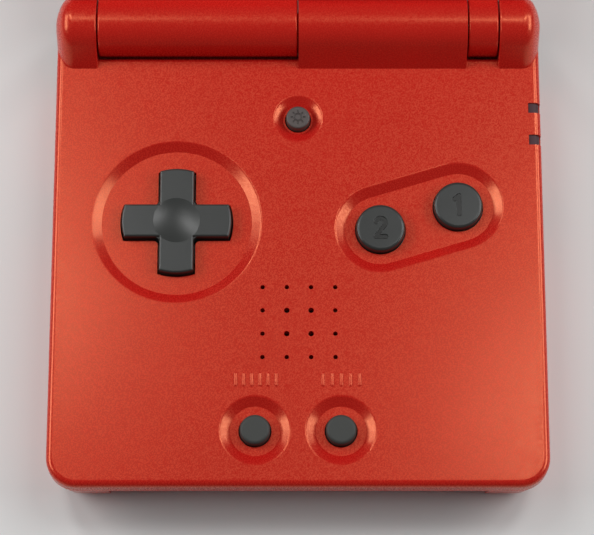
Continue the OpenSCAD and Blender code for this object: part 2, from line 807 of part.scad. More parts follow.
// Recesses and holes of the control face
module upper_shell_holes() {
    translate([pad_x, pad_y, 0]) {
        recess(pad_floor_r);
        translate([0, 0, part_z]) linear_extrude(base_h) pad_outline(pad_gap);
    }
    at_action_buttons() long_recess(button_floor_r, button_pitch);
    each_action_button() key_hole(button_d);
    for (side = [-1, 1])
        translate([side * small_pitch / 2, small_y, 0]) {
            recess(small_floor_r);
            key_hole(small_d);
        }
    translate([0, light_y, 0]) {
        recess(light_floor_r);
        key_hole(light_d);
    }
    first = -(hole_count - 1) * hole_pitch / 2;
    last = hole_count - 1;
    translate([speaker_x, speaker_y, part_z])
        for (i = [0 : last], j = [0 : last]) {
            inner = i > 0 && i < last && j > 0 && j < last;
            translate([first + i * hole_pitch, first + j * hole_pitch, 0])
                cylinder(d = inner ? inner_hole_d : hole_d, h = base_h, $fn = 24);
        }
}

// Hole of a round button
module key_hole(d) {
    translate([0, 0, part_z]) cylinder(d = d + 2 * button_gap, h = base_h);
}

// Bores on the hinge axis: pin seat in the left cap, clutch seat in the centre barrel,
// and bearing of the clutch's shaft in the right cap
module hinge_bores() {
    seat = cap_len / 2;
    translate([0, axis_y, axis_z])
        rotate([0, 90, 0]) {
            translate([0, 0, -cap_x - seat]) cylinder(d = pin_d, h = seat + over);
            translate([0, 0, barrel_end - clutch_len]) cylinder(d = clutch_d, h = clutch_len + over);
            translate([0, 0, cap_x - over]) cylinder(d = pin_d + 2 * pin_gap, h = seat + over);
        }
}

// Lower shell of the base: leaning walls, cartridge slot, battery bay, ports and bosses
module base_lower_shell() {
    color(paint) difference() {
        union() {
            difference() {
                slab(body_w, body_d, part_z, corner_r, 0, bottom_round, lean);
                lower_hollow();
                translate([0, 0, part_z - over])
                    slab(body_w - 2 * wall, body_d - 2 * wall, 2 * over, corner_r - wall);
            }
            slot_walls();
            battery_walls();
            for (spot = case_screw_spots)
                translate([spot[0], spot[1], loose * 4]) cylinder(d = boss_d, h = board_z - loose * 4);
            for (side = [-1, 1])
                translate([side * shoulder_pin_x, shoulder_pin_y, floor_t - loose])
                    cylinder(d = 2.5 * shoulder_pin_d, h = shoulder_z - floor_t - loose);
        }
        slot_cuts();
        battery_cuts();
        screw_cuts();
        port_cuts();
        slider_cuts(1, power_travel);
        slider_cuts(-1, volume_travel);
        shoulder_cuts();
        translate([-cap_x - trough_t - loose, axis_y - trough_r, trough_low])
            cube([2 * (cap_x + trough_t + loose), body_d, base_h]);
    }
}

// Walls of the cartridge slot
module slot_walls() {
    translate([-bay_w / 2 - bay_wall, mouth_y, floor_t / 2])
        cube([bay_w + 2 * bay_wall, bay_d - mouth_d, board_z - floor_t / 2]);
    translate([-mouth_w / 2 - bay_wall, front_y + wall + strip_d / 2, floor_t / 2])
        cube([mouth_w + 2 * bay_wall, mouth_d - wall - strip_d / 2 + bay_wall, part_z - floor_t / 2]);
}

// Cuts of the cartridge slot: mouth, bay, open strip and finger notch
module slot_cuts() {
    translate([-mouth_w / 2, front_y - over, floor_t])
        cube([mouth_w, mouth_d + over, part_z - bay_roof - floor_t]);
    translate([-mouth_w / 2, front_y - over, -over])
        cube([mouth_w, strip_d + over, part_z + 2 * over]);
    translate([-bay_w / 2, mouth_y - over, floor_t])
        cube([bay_w, bay_d - mouth_d + over, bay_top - floor_t]);
    translate([0, front_y + strip_d + notch_d - notch_r, -over])
        cylinder(r = notch_r, h = floor_t + 2 * over);
}

// Walls and roof of the battery bay, with the boss and the plate beside it for the cover's screw
module battery_walls() {
    grow = battery_gap + bay_wall;
    translate([battery_x - battery_w / 2 - grow, battery_y - grow, floor_t / 2])
        cube([battery_w + 2 * grow, battery_d + 2 * grow, board_z - floor_t / 2]);
    translate([cover_x - cover_w / 2 - bay_wall, battery_y - grow, floor_t / 2])
        cube([cover_w / 2, battery_d + 2 * grow, floor_t / 2 + bay_wall]);
    translate([cover_screw_x, battery_mid_y, floor_t]) cylinder(d = boss_d, h = cover_screw_len + bay_wall);
}

// Cuts of the battery bay: cover opening, bay and contact slots
module battery_cuts() {
    translate([cover_x, battery_mid_y, -over])
        slab(cover_w + 2 * loose, cover_d + 2 * loose, floor_t + over, cover_corner);
    translate([cover_screw_x, battery_mid_y, 0])
        cylinder(d = shank_d + 2 * pin_gap, h = floor_t + cover_screw_len);
    translate([battery_x - battery_w / 2 - battery_gap, battery_y - battery_gap, floor_t - over])
        cube([battery_w + 2 * battery_gap, battery_d + 2 * battery_gap, bay_top - floor_t + over]);
    each_contact(loose) translate([0, 0, floor_t]) cube([contact_w + 2 * loose, 3 * bay_wall, base_h]);
}

// Places the three battery contacts at the bay's rear wall
module each_contact(gap) {
    for (i = [-1 : 1])
        translate([battery_x - battery_w / 4 + i * contact_pitch - contact_w / 2 - gap,
            battery_y + battery_d + battery_gap / 2, 0]) children();
}

// Counterbores and shank bores of the case screws
module screw_cuts() {
    for (spot = case_screw_spots)
        translate([spot[0], spot[1], 0]) {
            translate([0, 0, -over]) cylinder(d = head_d + 4 * loose, h = over + screw_sink + head_h);
            cylinder(d = shank_d + 2 * pin_gap, h = base_h);
        }
}

// Openings of the two ports in the back wall
module port_cuts() {
    for (port = [[link_x, link_w], [charge_x, charge_w]])
        translate([port[0] - port[1] / 2 - loose, axis_y - over, board_z - port_h])
            cube([port[1] + 2 * loose, body_d, port_h + over]);
}

// Track and slot of a slider in the side wall
module slider_cuts(side, travel) {
    translate([side * (body_w / 2 - track_in), slider_y, slider_z]) {
        translate([0, 0, -knob_h / 2 - button_gap])
            translate([side > 0 ? 0 : -body_w / 2, -(knob_len + travel) / 2 - button_gap, 0])
                cube([body_w / 2, knob_len + travel + 2 * button_gap, knob_h + 2 * button_gap]);
        translate([-3 * wall, -(stem_len + travel) / 2 - button_gap, -stem_h / 2 - button_gap])
            cube([6 * wall, stem_len + travel + 2 * button_gap, stem_h + 2 * button_gap]);
    }
}

// Pockets of the two shoulder buttons and the bores of their pins
module shoulder_cuts() {
    for (side = [0, 1])
        mirror([side, 0, 0]) {
            shoulder_space(shoulder_gap, shoulder_front_gap);
            translate([shoulder_pin_x, shoulder_pin_y, floor_t / 2]) cylinder(d = shoulder_pin_d, h = base_h);
        }
}

// Cover of the battery bay, flush with the rest face
module battery_cover() {
    groove_x = battery_x + battery_w / 2 - (groove_count - 1) * groove_pitch - groove_w;
    color(paint) difference() {
        translate([cover_x, battery_mid_y, 0]) slab(cover_w, cover_d, floor_t, cover_corner - loose);
        translate([cover_screw_x, battery_mid_y, -over]) {
            cylinder(d = head_d + 4 * loose, h = over + loose + cover_head_h);
            cylinder(d = shank_d + 2 * pin_gap, h = base_h);
        }
        for (i = [0 : groove_count - 1])
            translate([groove_x + i * groove_pitch, battery_mid_y - groove_len / 2, -over])
                cube([groove_w, groove_len, over + groove_depth]);
    }
}

module battery_cover_screw() {
    color(steel)
        translate([cover_screw_x, battery_mid_y, loose]) screw(cover_head_h, cover_screw_len - 2 * loose);
}

// Screw with a flat round head and a cross recess, head down, from z = 0 upwards
module screw(head, length) {
    difference() {
        union() {
            cylinder(d = head_d, h = head);
            cylinder(d = shank_d, h = head + length);
        }
        for (turn = [0, 90])
            rotate(turn)
                translate([-head_d / 3, -cross_w / 2, -over])
                    cube([2 * head_d / 3, cross_w, over + cross_depth]);
    }
}

module battery_pack() {
    color(dark_plastic)
        translate([battery_x, battery_mid_y, battery_z])
            slab(battery_w, battery_d, battery_t, battery_corner);
}

module battery_contacts() {
    low = battery_z + contact_rise;
    color([0.85, 0.7, 0.3])
        each_contact(0) translate([0, 0, low]) cube([contact_w, contact_t, board_z - low]);
}

// Main board with notches for the screw bosses
module main_board() {
    inset = wall + board_gap;
    color([0.1, 0.35, 0.2]) difference() {
        translate([0, board_mid, board_z])
            slab(body_w - 2 * inset, board_d, board_t, corner_r - wall);
        for (spot = case_screw_spots)
            translate([spot[0], spot[1], board_z - over]) cylinder(d = boss_d + 4 * loose, h = 3 * over);
        translate([-mouth_w / 2 - bay_wall - loose, front_y, board_z - over])
            cube([mouth_w + 2 * bay_wall + 2 * loose, mouth_d + bay_wall + loose, 3 * over]);
    }
}

// Cartridge connector at the inner end of the bay, hung from the board
module cartridge_connector() {
    side = bay_w / 2 - connector_in;
    mouth = side - connector_wall;
    color(dark_plastic) difference() {
        translate([-side, bay_y + loose, floor_t]) cube([2 * side, connector_d, board_z - floor_t]);
        translate([-mouth, bay_y - over, floor_t + connector_wall])
            cube([2 * mouth, over + loose + connector_d - connector_wall, connector_mouth]);
    }
}

// Speaker: basket, magnet below and a shallow cone
module speaker() {
    color(dark_plastic) translate([speaker_x, speaker_y, board_top])
        difference() {
            union() {
                cylinder(d = magnet_d, h = button_room - loose);
                translate([0, 0, magnet_h]) cylinder(d = speaker_d, h = button_room - magnet_h - loose);
            }
            translate([0, 0, button_room - loose - cone_depth + cone_r]) sphere(r = cone_r);
        }
}

// Direction pad: cross with rounded edges, hollow middle, flange and ball socket
module direction_pad() {
    color(key_grey) translate([pad_x, pad_y, 0])
        difference() {
            union() {
                intersection() {
                    union() {
                        for (turn = [0, 90])
                            rotate(turn)
                                translate([-2 * pad_r, 0, pad_flange_z])
                                    along_x(0, 4 * pad_r)
                                        arm_section(button_top - pad_flange_z);
                        translate([0, 0, pad_flange_z])
                            linear_extrude(button_top - pad_edge - pad_flange_z) pad_outline(0);
                    }
                    translate([0, 0, pad_flange_z]) round_key(2 * pad_r, button_top - pad_flange_z, pad_edge);
                }
                translate([0, 0, pad_flange_z]) cylinder(r = pad_flange_r, h = flange_t);
            }
            hollow_r = (hollow_d * hollow_d / 4 + hollow_depth * hollow_depth) / (2 * hollow_depth);
            translate([0, 0, button_top + hollow_r - hollow_depth]) sphere(r = hollow_r);
            translate([0, 0, rock_z]) sphere(r = rock_r + loose);
            translate([0, 0, board_z]) cylinder(r = rock_r + loose, h = rock_z - board_z);
        }
}

// Cross section of an arm, drawn as (y, z)
module arm_section(h) {
    for (side = [0, 1]) mirror([side, 0]) edge_section(arm_w / 2, h, pad_edge, 0, 0);
}

module rocking_ball() {
    color(steel) translate([pad_x, pad_y, rock_z]) sphere(r = rock_r);
}

// Rubber sheet with a hollow dome under each arm
module pad_membrane() {
    color(dark_plastic) translate([pad_x, pad_y, board_top])
        difference() {
            union() {
                cylinder(r = pad_sheet_r, h = membrane_t);
                for (turn = [0 : 90 : 270])
                    rotate(turn) translate([pad_dome_x, 0, 0]) cylinder(r = pad_dome_r, h = 2 * membrane_t);
            }
            translate([0, 0, -over]) cylinder(r = rock_r + 3 * loose, h = 3 * over);
        }
}

// Round button with a flange under the control face
module flanged_key(d, edge) {
    translate([0, 0, flange_top - flange_t]) {
        round_key(d, button_top - flange_top + flange_t, edge);
        cylinder(d = d + 2 * flange_w, h = flange_t);
    }
}

module left_action_button() {
    color(key_grey) at_action_buttons() flanged_key(button_d, button_edge);
}

module right_action_button() {
    color(key_grey) at_action_buttons() translate([button_pitch, 0, 0]) flanged_key(button_d, button_edge);
}

// Rubber sheet with a dome under each action button
module action_membrane() {
    dome_h = button_room - loose - flange_t - button_travel - loose;
    color(dark_plastic) {
        at_action_buttons() {
            translate([0, 0, board_top]) cylinder(r = button_floor_r, h = membrane_t);
            translate([button_pitch, 0, board_top]) cylinder(r = button_floor_r, h = membrane_t);
            translate([0, -button_floor_r, board_top]) cube([button_pitch, 2 * button_floor_r, membrane_t]);
        }
        each_action_button() translate([0, 0, board_top]) cylinder(r = button_dome_r, h = dome_h);
    }
}

module left_small_button() {
    color(key_grey) translate([-small_pitch / 2, small_y, 0]) flanged_key(small_d, small_edge);
}

module right_small_button() {
    color(key_grey) translate([small_pitch / 2, small_y, 0]) flanged_key(small_d, small_edge);
}

// Rubber sheet with a dome under each small round button
module small_membrane() {
    dome_h = button_room - loose - flange_t - small_travel - loose;
    color(dark_plastic) {
        translate([-small_pitch / 2, small_y - small_sheet, board_top])
            cube([small_pitch, 2 * small_sheet, membrane_t]);
        for (side = [-1, 1])
            translate([side * small_pitch / 2, small_y, board_top]) {
                cylinder(r = small_sheet, h = membrane_t);
                cylinder(r = small_dome_r, h = dome_h);
            }
    }
}

module light_button() {
    color(key_grey) translate([0, light_y, 0]) flanged_key(light_d, light_edge);
}

module light_switch() {
    top = button_room - loose - flange_t - small_travel - loose;
    color(dark_plastic) translate([0, light_y, board_top]) {
        translate([-light_switch_w / 2, -light_switch_w / 2, 0])
            cube([light_switch_w, light_switch_w, top - light_plunger_h]);
        cylinder(r = light_plunger_r, h = top);
    }
}

// Shell of the right shoulder button with its lug
module shoulder_shape() {
    grow = cap_bulge;
    lug_z = shoulder_z + spring_h + loose;
    difference() {
        union() {
            intersection() {
                translate([0, 0, shoulder_z])
                    difference() {
                        slab(body_w + 2 * grow, body_d + 2 * grow, shoulder_h, corner_r, 0.4, 0.4);
                        translate([0, 0, -over])
                            slab(body_w + 2 * grow - 2 * shoulder_t, body_d + 2 * grow - 2 * shoulder_t,
                                shoulder_h + 2 * over, corner_r - shoulder_t);
                    }
                shoulder_space(0, 0);
            }
            translate([shoulder_pin_x, shoulder_pin_y, lug_z])
                cylinder(r = shoulder_pin_d, h = shoulder_z + shoulder_h - lug_z);
        }
        translate([shoulder_pin_x, shoulder_pin_y, 0]) cylinder(d = shoulder_pin_d + 2 * pin_gap, h = base_h);
        translate([shoulder_pin_x, shoulder_pin_y, 0]) cylinder(r = shoulder_pin_d + loose, h = lug_z);
    }
}

module left_shoulder_button() {
    color(dark_plastic) mirror([1, 0, 0]) shoulder_shape();
}

module right_shoulder_button() {
    color(dark_plastic) shoulder_shape();
}

module shoulder_pin(side) {
    color(steel) translate([side * shoulder_pin_x, shoulder_pin_y, floor_t / 2])
        cylinder(d = shoulder_pin_d, h = trough_low - floor_t / 2);
}

module left_shoulder_pin() {
    shoulder_pin(-1);
}

module right_shoulder_pin() {
    shoulder_pin(1);
}

// Torsion spring around the pin, with one leg along the button
module shoulder_spring(side) {
    outer = shoulder_pin_d;
    color(steel) mirror([side > 0 ? 0 : 1, 0, 0])
        translate([shoulder_pin_x, shoulder_pin_y, shoulder_z]) {
            difference() {
                cylinder(r = outer, h = spring_h - loose);
                translate([0, 0, -over]) cylinder(r = outer - spring_wire, h = spring_h + 2 * over);
                for (i = [1, 2])
                    translate([0, 0, i * spring_h / 3])
                        difference() {
                            cylinder(r = outer + over, h = loose);
                            translate([0, 0, -over]) cylinder(r = outer - spring_wire / 2, h = 2 * over);
                        }
            }
            translate([0, -outer, 0]) cube([spring_leg, spring_wire, spring_wire]);
        }
}

module left_shoulder_spring() {
    shoulder_spring(-1);
}

module right_shoulder_spring() {
    shoulder_spring(1);
}

// Switch behind a shoulder button
module shoulder_switch(side) {
    front = shoulder_pin_y - loose - plunger_len;
    top = shoulder_z + shoulder_h / 2 + plunger_d;
    color(dark_plastic) mirror([side > 0 ? 0 : 1, 0, 0])
        translate([shoulder_switch_x, front, 0]) {
            translate([-shoulder_switch_w / 2, -shoulder_switch_d, floor_t + loose])
                cube([shoulder_switch_w, shoulder_switch_d, top - floor_t - loose]);
            translate([0, -loose, top - plunger_d])
                rotate([-90, 0, 0]) cylinder(d = plunger_d, h = plunger_len + loose);
        }
}

module left_shoulder_switch() {
    shoulder_switch(-1);
}

module right_shoulder_switch() {
    shoulder_switch(1);
}

// Knob of a slider with its stem; it lies at the given place along its travel
module knob(side, place) {
    in_x = body_w / 2 - track_in;
    mirror([side > 0 ? 0 : 1, 0, 0])
        translate([in_x + loose, slider_y + place, slider_z]) {
            difference() {
                translate([0, -knob_len / 2, -knob_h / 2])
                    cube([track_in + knob_proud - loose, knob_len, knob_h]);
                for (i = [-2 : 2])
                    translate([track_in + knob_proud - loose - rib_gap, i * rib_pitch - rib_gap / 2, -knob_h])
                        cube([over, rib_gap, 2 * knob_h]);
            }
            translate([-stem_reach, -stem_len / 2, -stem_h / 2]) cube([stem_reach + loose, stem_len, stem_h]);
        }
}

module power_knob() {
    color(dark_plastic) knob(1, -power_travel / 2);
}

module volume_knob() {
    color(dark_plastic) knob(-1, 0);
}

// Body of a slide switch or control, hung from the board behind its knob
module slider_body(side, length) {
    in_x = body_w / 2 - track_in - stem_reach - slider_body_t - loose;
    low = slider_z - slider_body_t / 2;
    mirror([side > 0 ? 0 : 1, 0, 0])
        translate([in_x, slider_y - length / 2, low]) cube([slider_body_t, length, board_z - low]);
}

module power_switch() {
    color(steel) slider_body(1, power_body_len);
}

module volume_wheel_case() {
    color(steel) slider_body(-1, volume_body_len);
}

// Space of a light window at the right edge, grown by gap
module light_window_space(y, gap) {
    translate([body_w / 2 - led_in - gap, y - led_w / 2 - gap, deck_under])
        cube([body_w, led_w + 2 * gap, base_h]);
}

module light_window_cuts() {
    for (i = [0, 1]) light_window_space(led_y - i * led_pitch, 0);
}

// Light window: follows the shell's rounded edge, a little below it
module light_window(y) {
    color([0.35, 0.2, 0.2]) intersection() {
        translate([0, 0, part_z])
            slab(body_w - 2 * led_sink, body_d, rim_h - led_sink, corner_r, deck_round);
        light_window_space(y, -pin_gap);
    }
}

module rear_light_window() {
    light_window(led_y);
}

module front_light_window() {
    light_window(led_y - led_pitch);
}

// Port with an open socket, hung from the board
module port(x, w) {
    translate([x - w / 2, port_y, board_z - port_h])
        difference() {
            cube([w, port_d, port_h]);
            translate([port_wall, port_end, port_wall])
                cube([w - 2 * port_wall, port_d, port_h - 2 * port_wall]);
        }
    translate([x - w / 2 + 3 * port_wall, port_y + port_end - loose, board_z - (port_h + port_wall) / 2])
        cube([w - 6 * port_wall, port_d - 2 * port_end, port_wall]);
}

module link_port() {
    color(dark_plastic) port(link_x, link_w);
}

module charge_port() {
    color(dark_plastic) port(charge_x, charge_w);
}

// Clutch case pressed into the centre barrel
module hinge_clutch_case() {
    color(steel) translate([barrel_end - clutch_len, axis_y, axis_z])
        rotate([0, 90, 0])
            difference() {
                cylinder(d = clutch_d, h = clutch_len);
                translate([0, 0, clutch_end]) cylinder(d = pin_d + 2 * pin_gap, h = clutch_len);
            }
}

// Shaft of the clutch, from its case through the right knuckle into the right cap
module hinge_clutch_shaft() {
    start = barrel_end - clutch_len + clutch_end + pin_end_gap;
    color(steel) translate([start, axis_y, axis_z])
        rotate([0, 90, 0]) cylinder(d = pin_d, h = cap_x + cap_len / 2 - pin_end_gap - start);
}

// Pin from the left cap into the left knuckle
module hinge_pin() {
    color(steel) translate([-cap_x - cap_len / 2, axis_y, axis_z])
        rotate([0, 90, 0]) cylinder(d = pin_d, h = cap_len / 2 + hinge_gap + pin_reach - pin_end_gap);
}

// Rolled part of the display cable inside the left knuckle
module cable_roll() {
    outer = cable_bore / 2 - loose;
    color(film) in_lid() translate([cable_x - cable_w / 2, axis_y, axis_z])
        rotate([0, 90, 0])
            difference() {
                cylinder(r = outer, h = cable_w);
                translate([0, 0, -over]) cylinder(r = outer - cable_roll_t, h = cable_w + 2 * over);
            }
}

// End of the display cable in the base, from the trough's wall to its connector
module cable_tail() {
    low = board_top + (cable_plug_h - cable_t) / 2;
    start = plug_y + 2 * cable_plug_d / 3;
    bend = plug_y + cable_plug_d + bay_wall;
    top = [bend + cable_plug_h, deck_under - loose];
    color(film)
        along_x(cable_x - cable_w / 2, cable_x + cable_w / 2)
            polygon([[start, low], [bend, low], top, top - [cable_t, 0], [bend - cable_t, low + cable_t],
                [start, low + cable_t]]);
}

module cable_connector() {
    color([0.9, 0.88, 0.8]) translate([cable_x, plug_y, board_top])
        difference() {
            translate([-cable_w / 2 - bay_wall, 0, 0])
                cube([cable_w + 2 * bay_wall, cable_plug_d, cable_plug_h]);
            translate([-cable_w / 2 - loose, cable_plug_d / 2, (cable_plug_h - cable_t) / 2 - loose])
                cube([cable_w + 2 * loose, cable_plug_d, cable_t + 2 * loose]);
        }
}

module case_screws() {
    length = deck_under - screw_sink - head_h - pin_end_gap;
    color(steel) for (spot = case_screw_spots)
        translate([spot[0], spot[1], screw_sink]) screw(head_h, length);
}

// Turns what is drawn for the closed lid to the open position
module in_lid() {
    translate([0, axis_y, axis_z])
        rotate([-lid_open, 0, 0]) translate([0, -axis_y, -axis_z]) children();
}

// Side view of a neck, drawn as (y, z) from the axis: it joins a knuckle to the lid's end wall
module neck_section() {
    deep = lid_root + wall;
    mid_z = -lid_inset - neck_round;
    mid_y = -sqrt(pow(knuckle_r + neck_round, 2) - mid_z * mid_z);
    touch = [mid_y, mid_z] * knuckle_r / (knuckle_r + neck_round);
    translate([-lid_root, -lid_inset]) square([lid_root, knuckle_r + lid_inset]);
    translate([-deep, -lid_inset]) square([wall + loose, lid_rim_h]);
    difference() {
        polygon([[mid_y, -lid_inset], [mid_y, mid_z], touch, [touch[0] / 2, -lid_inset]]);
        translate([mid_y, mid_z]) circle(neck_round);
    }
}

// Inner frame of the lid: face around the screen, necks and knuckles
module lid_inner_frame() {
    color(paint) in_lid() difference() {
        union() {
            translate([0, lid_mid, lid_z])
                difference() {
                    slab(body_w, lid_d, lid_rim_h, corner_r, 0, lid_inner_round);
                    translate([0, 0, lid_face_t])
                        slab(body_w - 2 * wall, lid_d - 2 * wall, lid_rim_h, corner_r - wall);
                }
            knuckle(-cap_x + hinge_gap, barrel_x - hinge_gap);
            knuckle(barrel_end + hinge_gap, cap_x - hinge_gap);
            for (spot = lid_screw_spots)
                translate([spot[0], spot[1], lid_z + lid_face_t / 2])
                    cylinder(d = boss_d, h = lid_rim_h - lid_face_t / 2);
        }
        translate([0, lid_mid, lid_z - over])
            slab(lens_w + 2 * loose, lens_h + 2 * loose, over + lens_sink + lens_t, lens_corner);
        translate([0, lid_mid, lid_z - over]) window_slab(3 * over + lid_face_t);
        lid_bores();
        for (spot = lid_screw_spots)
            translate([spot[0], spot[1], lid_z]) {
                translate([0, 0, -over]) cylinder(d = head_d + 4 * loose, h = over + lid_head_depth);
                cylinder(d = shank_d + 2 * pin_gap, h = lid_t);
            }
    }
}

// Block with the outline of the frame's window
module window_slab(h) {
    slab(screen_w + 2 * window_gap, screen_h + 2 * window_gap, h, display_corner);
}

// Knuckle with its neck, from x0 to x1
module knuckle(x0, x1) {
    around_axis() barrel_section(x0, x1, knuckle_r, knuckle_edge);
    translate([0, axis_y, axis_z]) along_x(x0, x1) neck_section();
}

// Bores of the lid's knuckles
module lid_bores() {
    translate([0, axis_y, axis_z])
        rotate([0, 90, 0]) {
            translate([0, 0, -cap_x]) cylinder(d = pin_d + 2 * pin_gap, h = 2 * pin_reach);
            translate([0, 0, -cap_x + hinge_gap + pin_reach])
                cylinder(d = cable_bore, h = cap_x + barrel_x - 2 * hinge_gap - 2 * pin_reach);
            translate([0, 0, barrel_end]) cylinder(d = pin_d, h = cap_x - barrel_end);
        }
}

// Outer shell of the lid
module lid_outer_shell() {
    h = lid_top - lid_part_z;
    color(paint) in_lid() difference() {
        union() {
            translate([0, lid_mid, lid_part_z])
                difference() {
                    slab(body_w, lid_d, h, corner_r, lid_outer_round);
                    translate([0, 0, -over])
                        slab(body_w - 2 * wall, lid_d - 2 * wall, h - wall + over,
                            corner_r - wall, lid_outer_round - wall);
                }
            for (spot = lid_screw_spots)
                translate([spot[0], spot[1], lid_part_z]) cylinder(d = boss_d, h = h - wall / 2);
        }
        for (spot = lid_screw_spots)
            translate([spot[0], spot[1], lid_part_z - over])
                cylinder(d = shank_d + 2 * pin_gap, h = over + h - wall - pin_end_gap);
    }
}

module screen_lens() {
    color([0.1, 0.1, 0.11]) in_lid()
        translate([0, lid_mid, lid_z + lens_sink]) slab(lens_w, lens_h, lens_t, lens_corner - loose);
}

// Plate of the display stack, from z0 upwards
module display_plate(z0, t) {
    translate([0, lid_mid, lid_z + lid_face_t + z0])
        slab(screen_w + 2 * display_border, screen_h + 2 * display_border, t, display_corner);
}

module display_gasket() {
    color(dark_plastic) in_lid() difference() {
        display_plate(0, gasket_t);
        translate([0, lid_mid, lid_z]) window_slab(lid_t);
    }
}

module light_guide() {
    color([0.8, 0.85, 0.85]) in_lid() display_plate(gasket_t, guide_t);
}

module display_panel() {
    color([0.35, 0.38, 0.36]) in_lid() display_plate(gasket_t + guide_t, panel_t);
}

module lid_screws() {
    length = lid_t - lid_head_depth - wall - 2 * pin_end_gap;
    color(steel) in_lid() for (spot = lid_screw_spots)
        translate([spot[0], spot[1], lid_z + lid_head_depth - head_h]) screw(head_h, length);
}

module lid_screw_covers() {
    color(dark_plastic) in_lid() for (spot = lid_screw_spots)
        translate([spot[0], spot[1], lid_z - cover_proud])
            cylinder(d = head_d + 2 * loose, h = cover_proud + lid_head_depth - head_h - loose);
}

base_upper_shell();
base_lower_shell();
battery_cover();
battery_cover_screw();
battery_pack();
battery_contacts();
main_board();
cartridge_connector();
speaker();
direction_pad();
rocking_ball();
pad_membrane();
left_action_button();
right_action_button();
action_membrane();
left_small_button();
right_small_button();
small_membrane();
light_button();
light_switch();
left_shoulder_button();
right_shoulder_button();
left_shoulder_pin();
right_shoulder_pin();
left_shoulder_spring();
right_shoulder_spring();
left_shoulder_switch();
right_shoulder_switch();
power_knob();
power_switch();
volume_knob();
volume_wheel_case();
rear_light_window();
front_light_window();
link_port();
charge_port();
hinge_clutch_case();
hinge_clutch_shaft();
hinge_pin();
cable_roll();
cable_tail();
cable_connector();
case_screws();
lid_outer_shell();
lid_inner_frame();
screen_lens();
display_panel();
light_guide();
display_gasket();
lid_screws();
lid_screw_covers();
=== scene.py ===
# %% [markdown]
# # Dressing a clamshell handheld game console
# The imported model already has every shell, key, pin and screw in its place. This lesson loads it,
# sets up the stage and the camera, gives every part a finish made of shader nodes, and adds the
# fine pieces that are easier to work out as surfaces: engraved key tops, raised marks, contacts.

# %% Load the model
import math

import bpy
import bmesh
import numpy as np
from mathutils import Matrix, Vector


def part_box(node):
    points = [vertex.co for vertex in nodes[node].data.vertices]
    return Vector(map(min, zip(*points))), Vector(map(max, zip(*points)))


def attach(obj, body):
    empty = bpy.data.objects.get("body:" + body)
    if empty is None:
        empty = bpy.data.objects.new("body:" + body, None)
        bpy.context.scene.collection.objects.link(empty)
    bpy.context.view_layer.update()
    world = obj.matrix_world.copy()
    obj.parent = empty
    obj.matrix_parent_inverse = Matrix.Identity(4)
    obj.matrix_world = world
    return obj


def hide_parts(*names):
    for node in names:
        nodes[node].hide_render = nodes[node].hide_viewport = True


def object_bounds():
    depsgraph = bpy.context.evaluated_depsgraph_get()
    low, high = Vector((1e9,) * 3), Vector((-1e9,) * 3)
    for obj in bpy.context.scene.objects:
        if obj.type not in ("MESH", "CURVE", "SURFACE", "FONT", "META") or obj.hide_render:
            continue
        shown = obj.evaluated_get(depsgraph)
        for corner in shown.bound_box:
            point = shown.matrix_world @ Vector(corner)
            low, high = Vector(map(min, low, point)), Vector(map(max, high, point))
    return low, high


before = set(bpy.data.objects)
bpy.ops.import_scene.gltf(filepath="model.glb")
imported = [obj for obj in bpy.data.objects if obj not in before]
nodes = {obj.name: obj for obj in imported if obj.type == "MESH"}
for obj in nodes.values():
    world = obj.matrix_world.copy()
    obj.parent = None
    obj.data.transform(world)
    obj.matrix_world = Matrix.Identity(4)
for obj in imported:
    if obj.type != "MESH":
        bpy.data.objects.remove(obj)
cad_box = [[float(c) for c in corner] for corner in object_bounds()]
MM = 0.001
print("nodes:", len(nodes), "box in mm:", [[round(c / MM, 1) for c in corner] for corner in cad_box])

# %% [markdown]
# ## The camera
# The photograph was taken from above and a little in front, with a long lens, so the sides of the
# base hardly converge. The widths of the face at its front and at its back give the focal length
# for each tilt. The speaker holes stand in a square grid, and how flat the grid looks gives the
# tilt. The width of the base then gives the distance. A camera looks along its own -Z, so turning
# it about X by the tilt makes it look down and backwards.

# %% Camera
PICTURE_W = 594
SENSOR_W = 36
TILT = math.radians(17.5)
FOCAL_PER_TAN = 8432.7
FOCAL_PX = FOCAL_PER_TAN * math.tan(TILT)
BASE_W = 82
BASE_W_PX = 494.5
DECK_Z = 13.6
AIM = (-0.17, -5.2, DECK_Z)
DISTANCE = FOCAL_PX * BASE_W / BASE_W_PX

camera = bpy.data.objects.new("camera", bpy.data.cameras.new("camera"))
camera.data.sensor_width = SENSOR_W
camera.data.lens = FOCAL_PX / PICTURE_W * SENSOR_W
camera.data.clip_start = 0.01
camera.location = (
    AIM[0] * MM,
    (AIM[1] - DISTANCE * math.sin(TILT)) * MM,
    (AIM[2] + DISTANCE * math.cos(TILT)) * MM,
)
camera.rotation_euler = (TILT, 0, 0)
bpy.context.scene.collection.objects.link(camera)
bpy.context.scene.camera = camera
print("lens in mm:", round(camera.data.lens, 1), "distance in mm:", round(DISTANCE, 1))

# %% [markdown]
# ## Small helpers for shader nodes
# Each finish below is a Principled shader with a few nodes in front of it. The helpers add a node,
# set its inputs by name and link it, so that a finish reads as a short recipe. All patterns use
# Object coordinates, which are metres here, so a scale of 2000 gives spots of about half a
# millimetre.

# %% Shader helpers
def new_finish(name, **values):
    """A new material whose Principled shader has these values, with spaces written as _."""
    finish = bpy.data.materials.new(name)
    finish.use_nodes = True
    shader = finish.node_tree.nodes["Principled BSDF"]
    for key, value in values.items():
        shader.inputs[key.replace("_", " ")].default_value = value
    return finish


def add(finish, kind, **values):
    """Adds a shader node, and sets properties or inputs that have these names."""
    node = finish.node_tree.nodes.new(kind)
    for key, value in values.items():
        if hasattr(node, key):
            setattr(node, key, value)
        else:
            node.inputs[key.replace("_", " ")].default_value = value
    return node


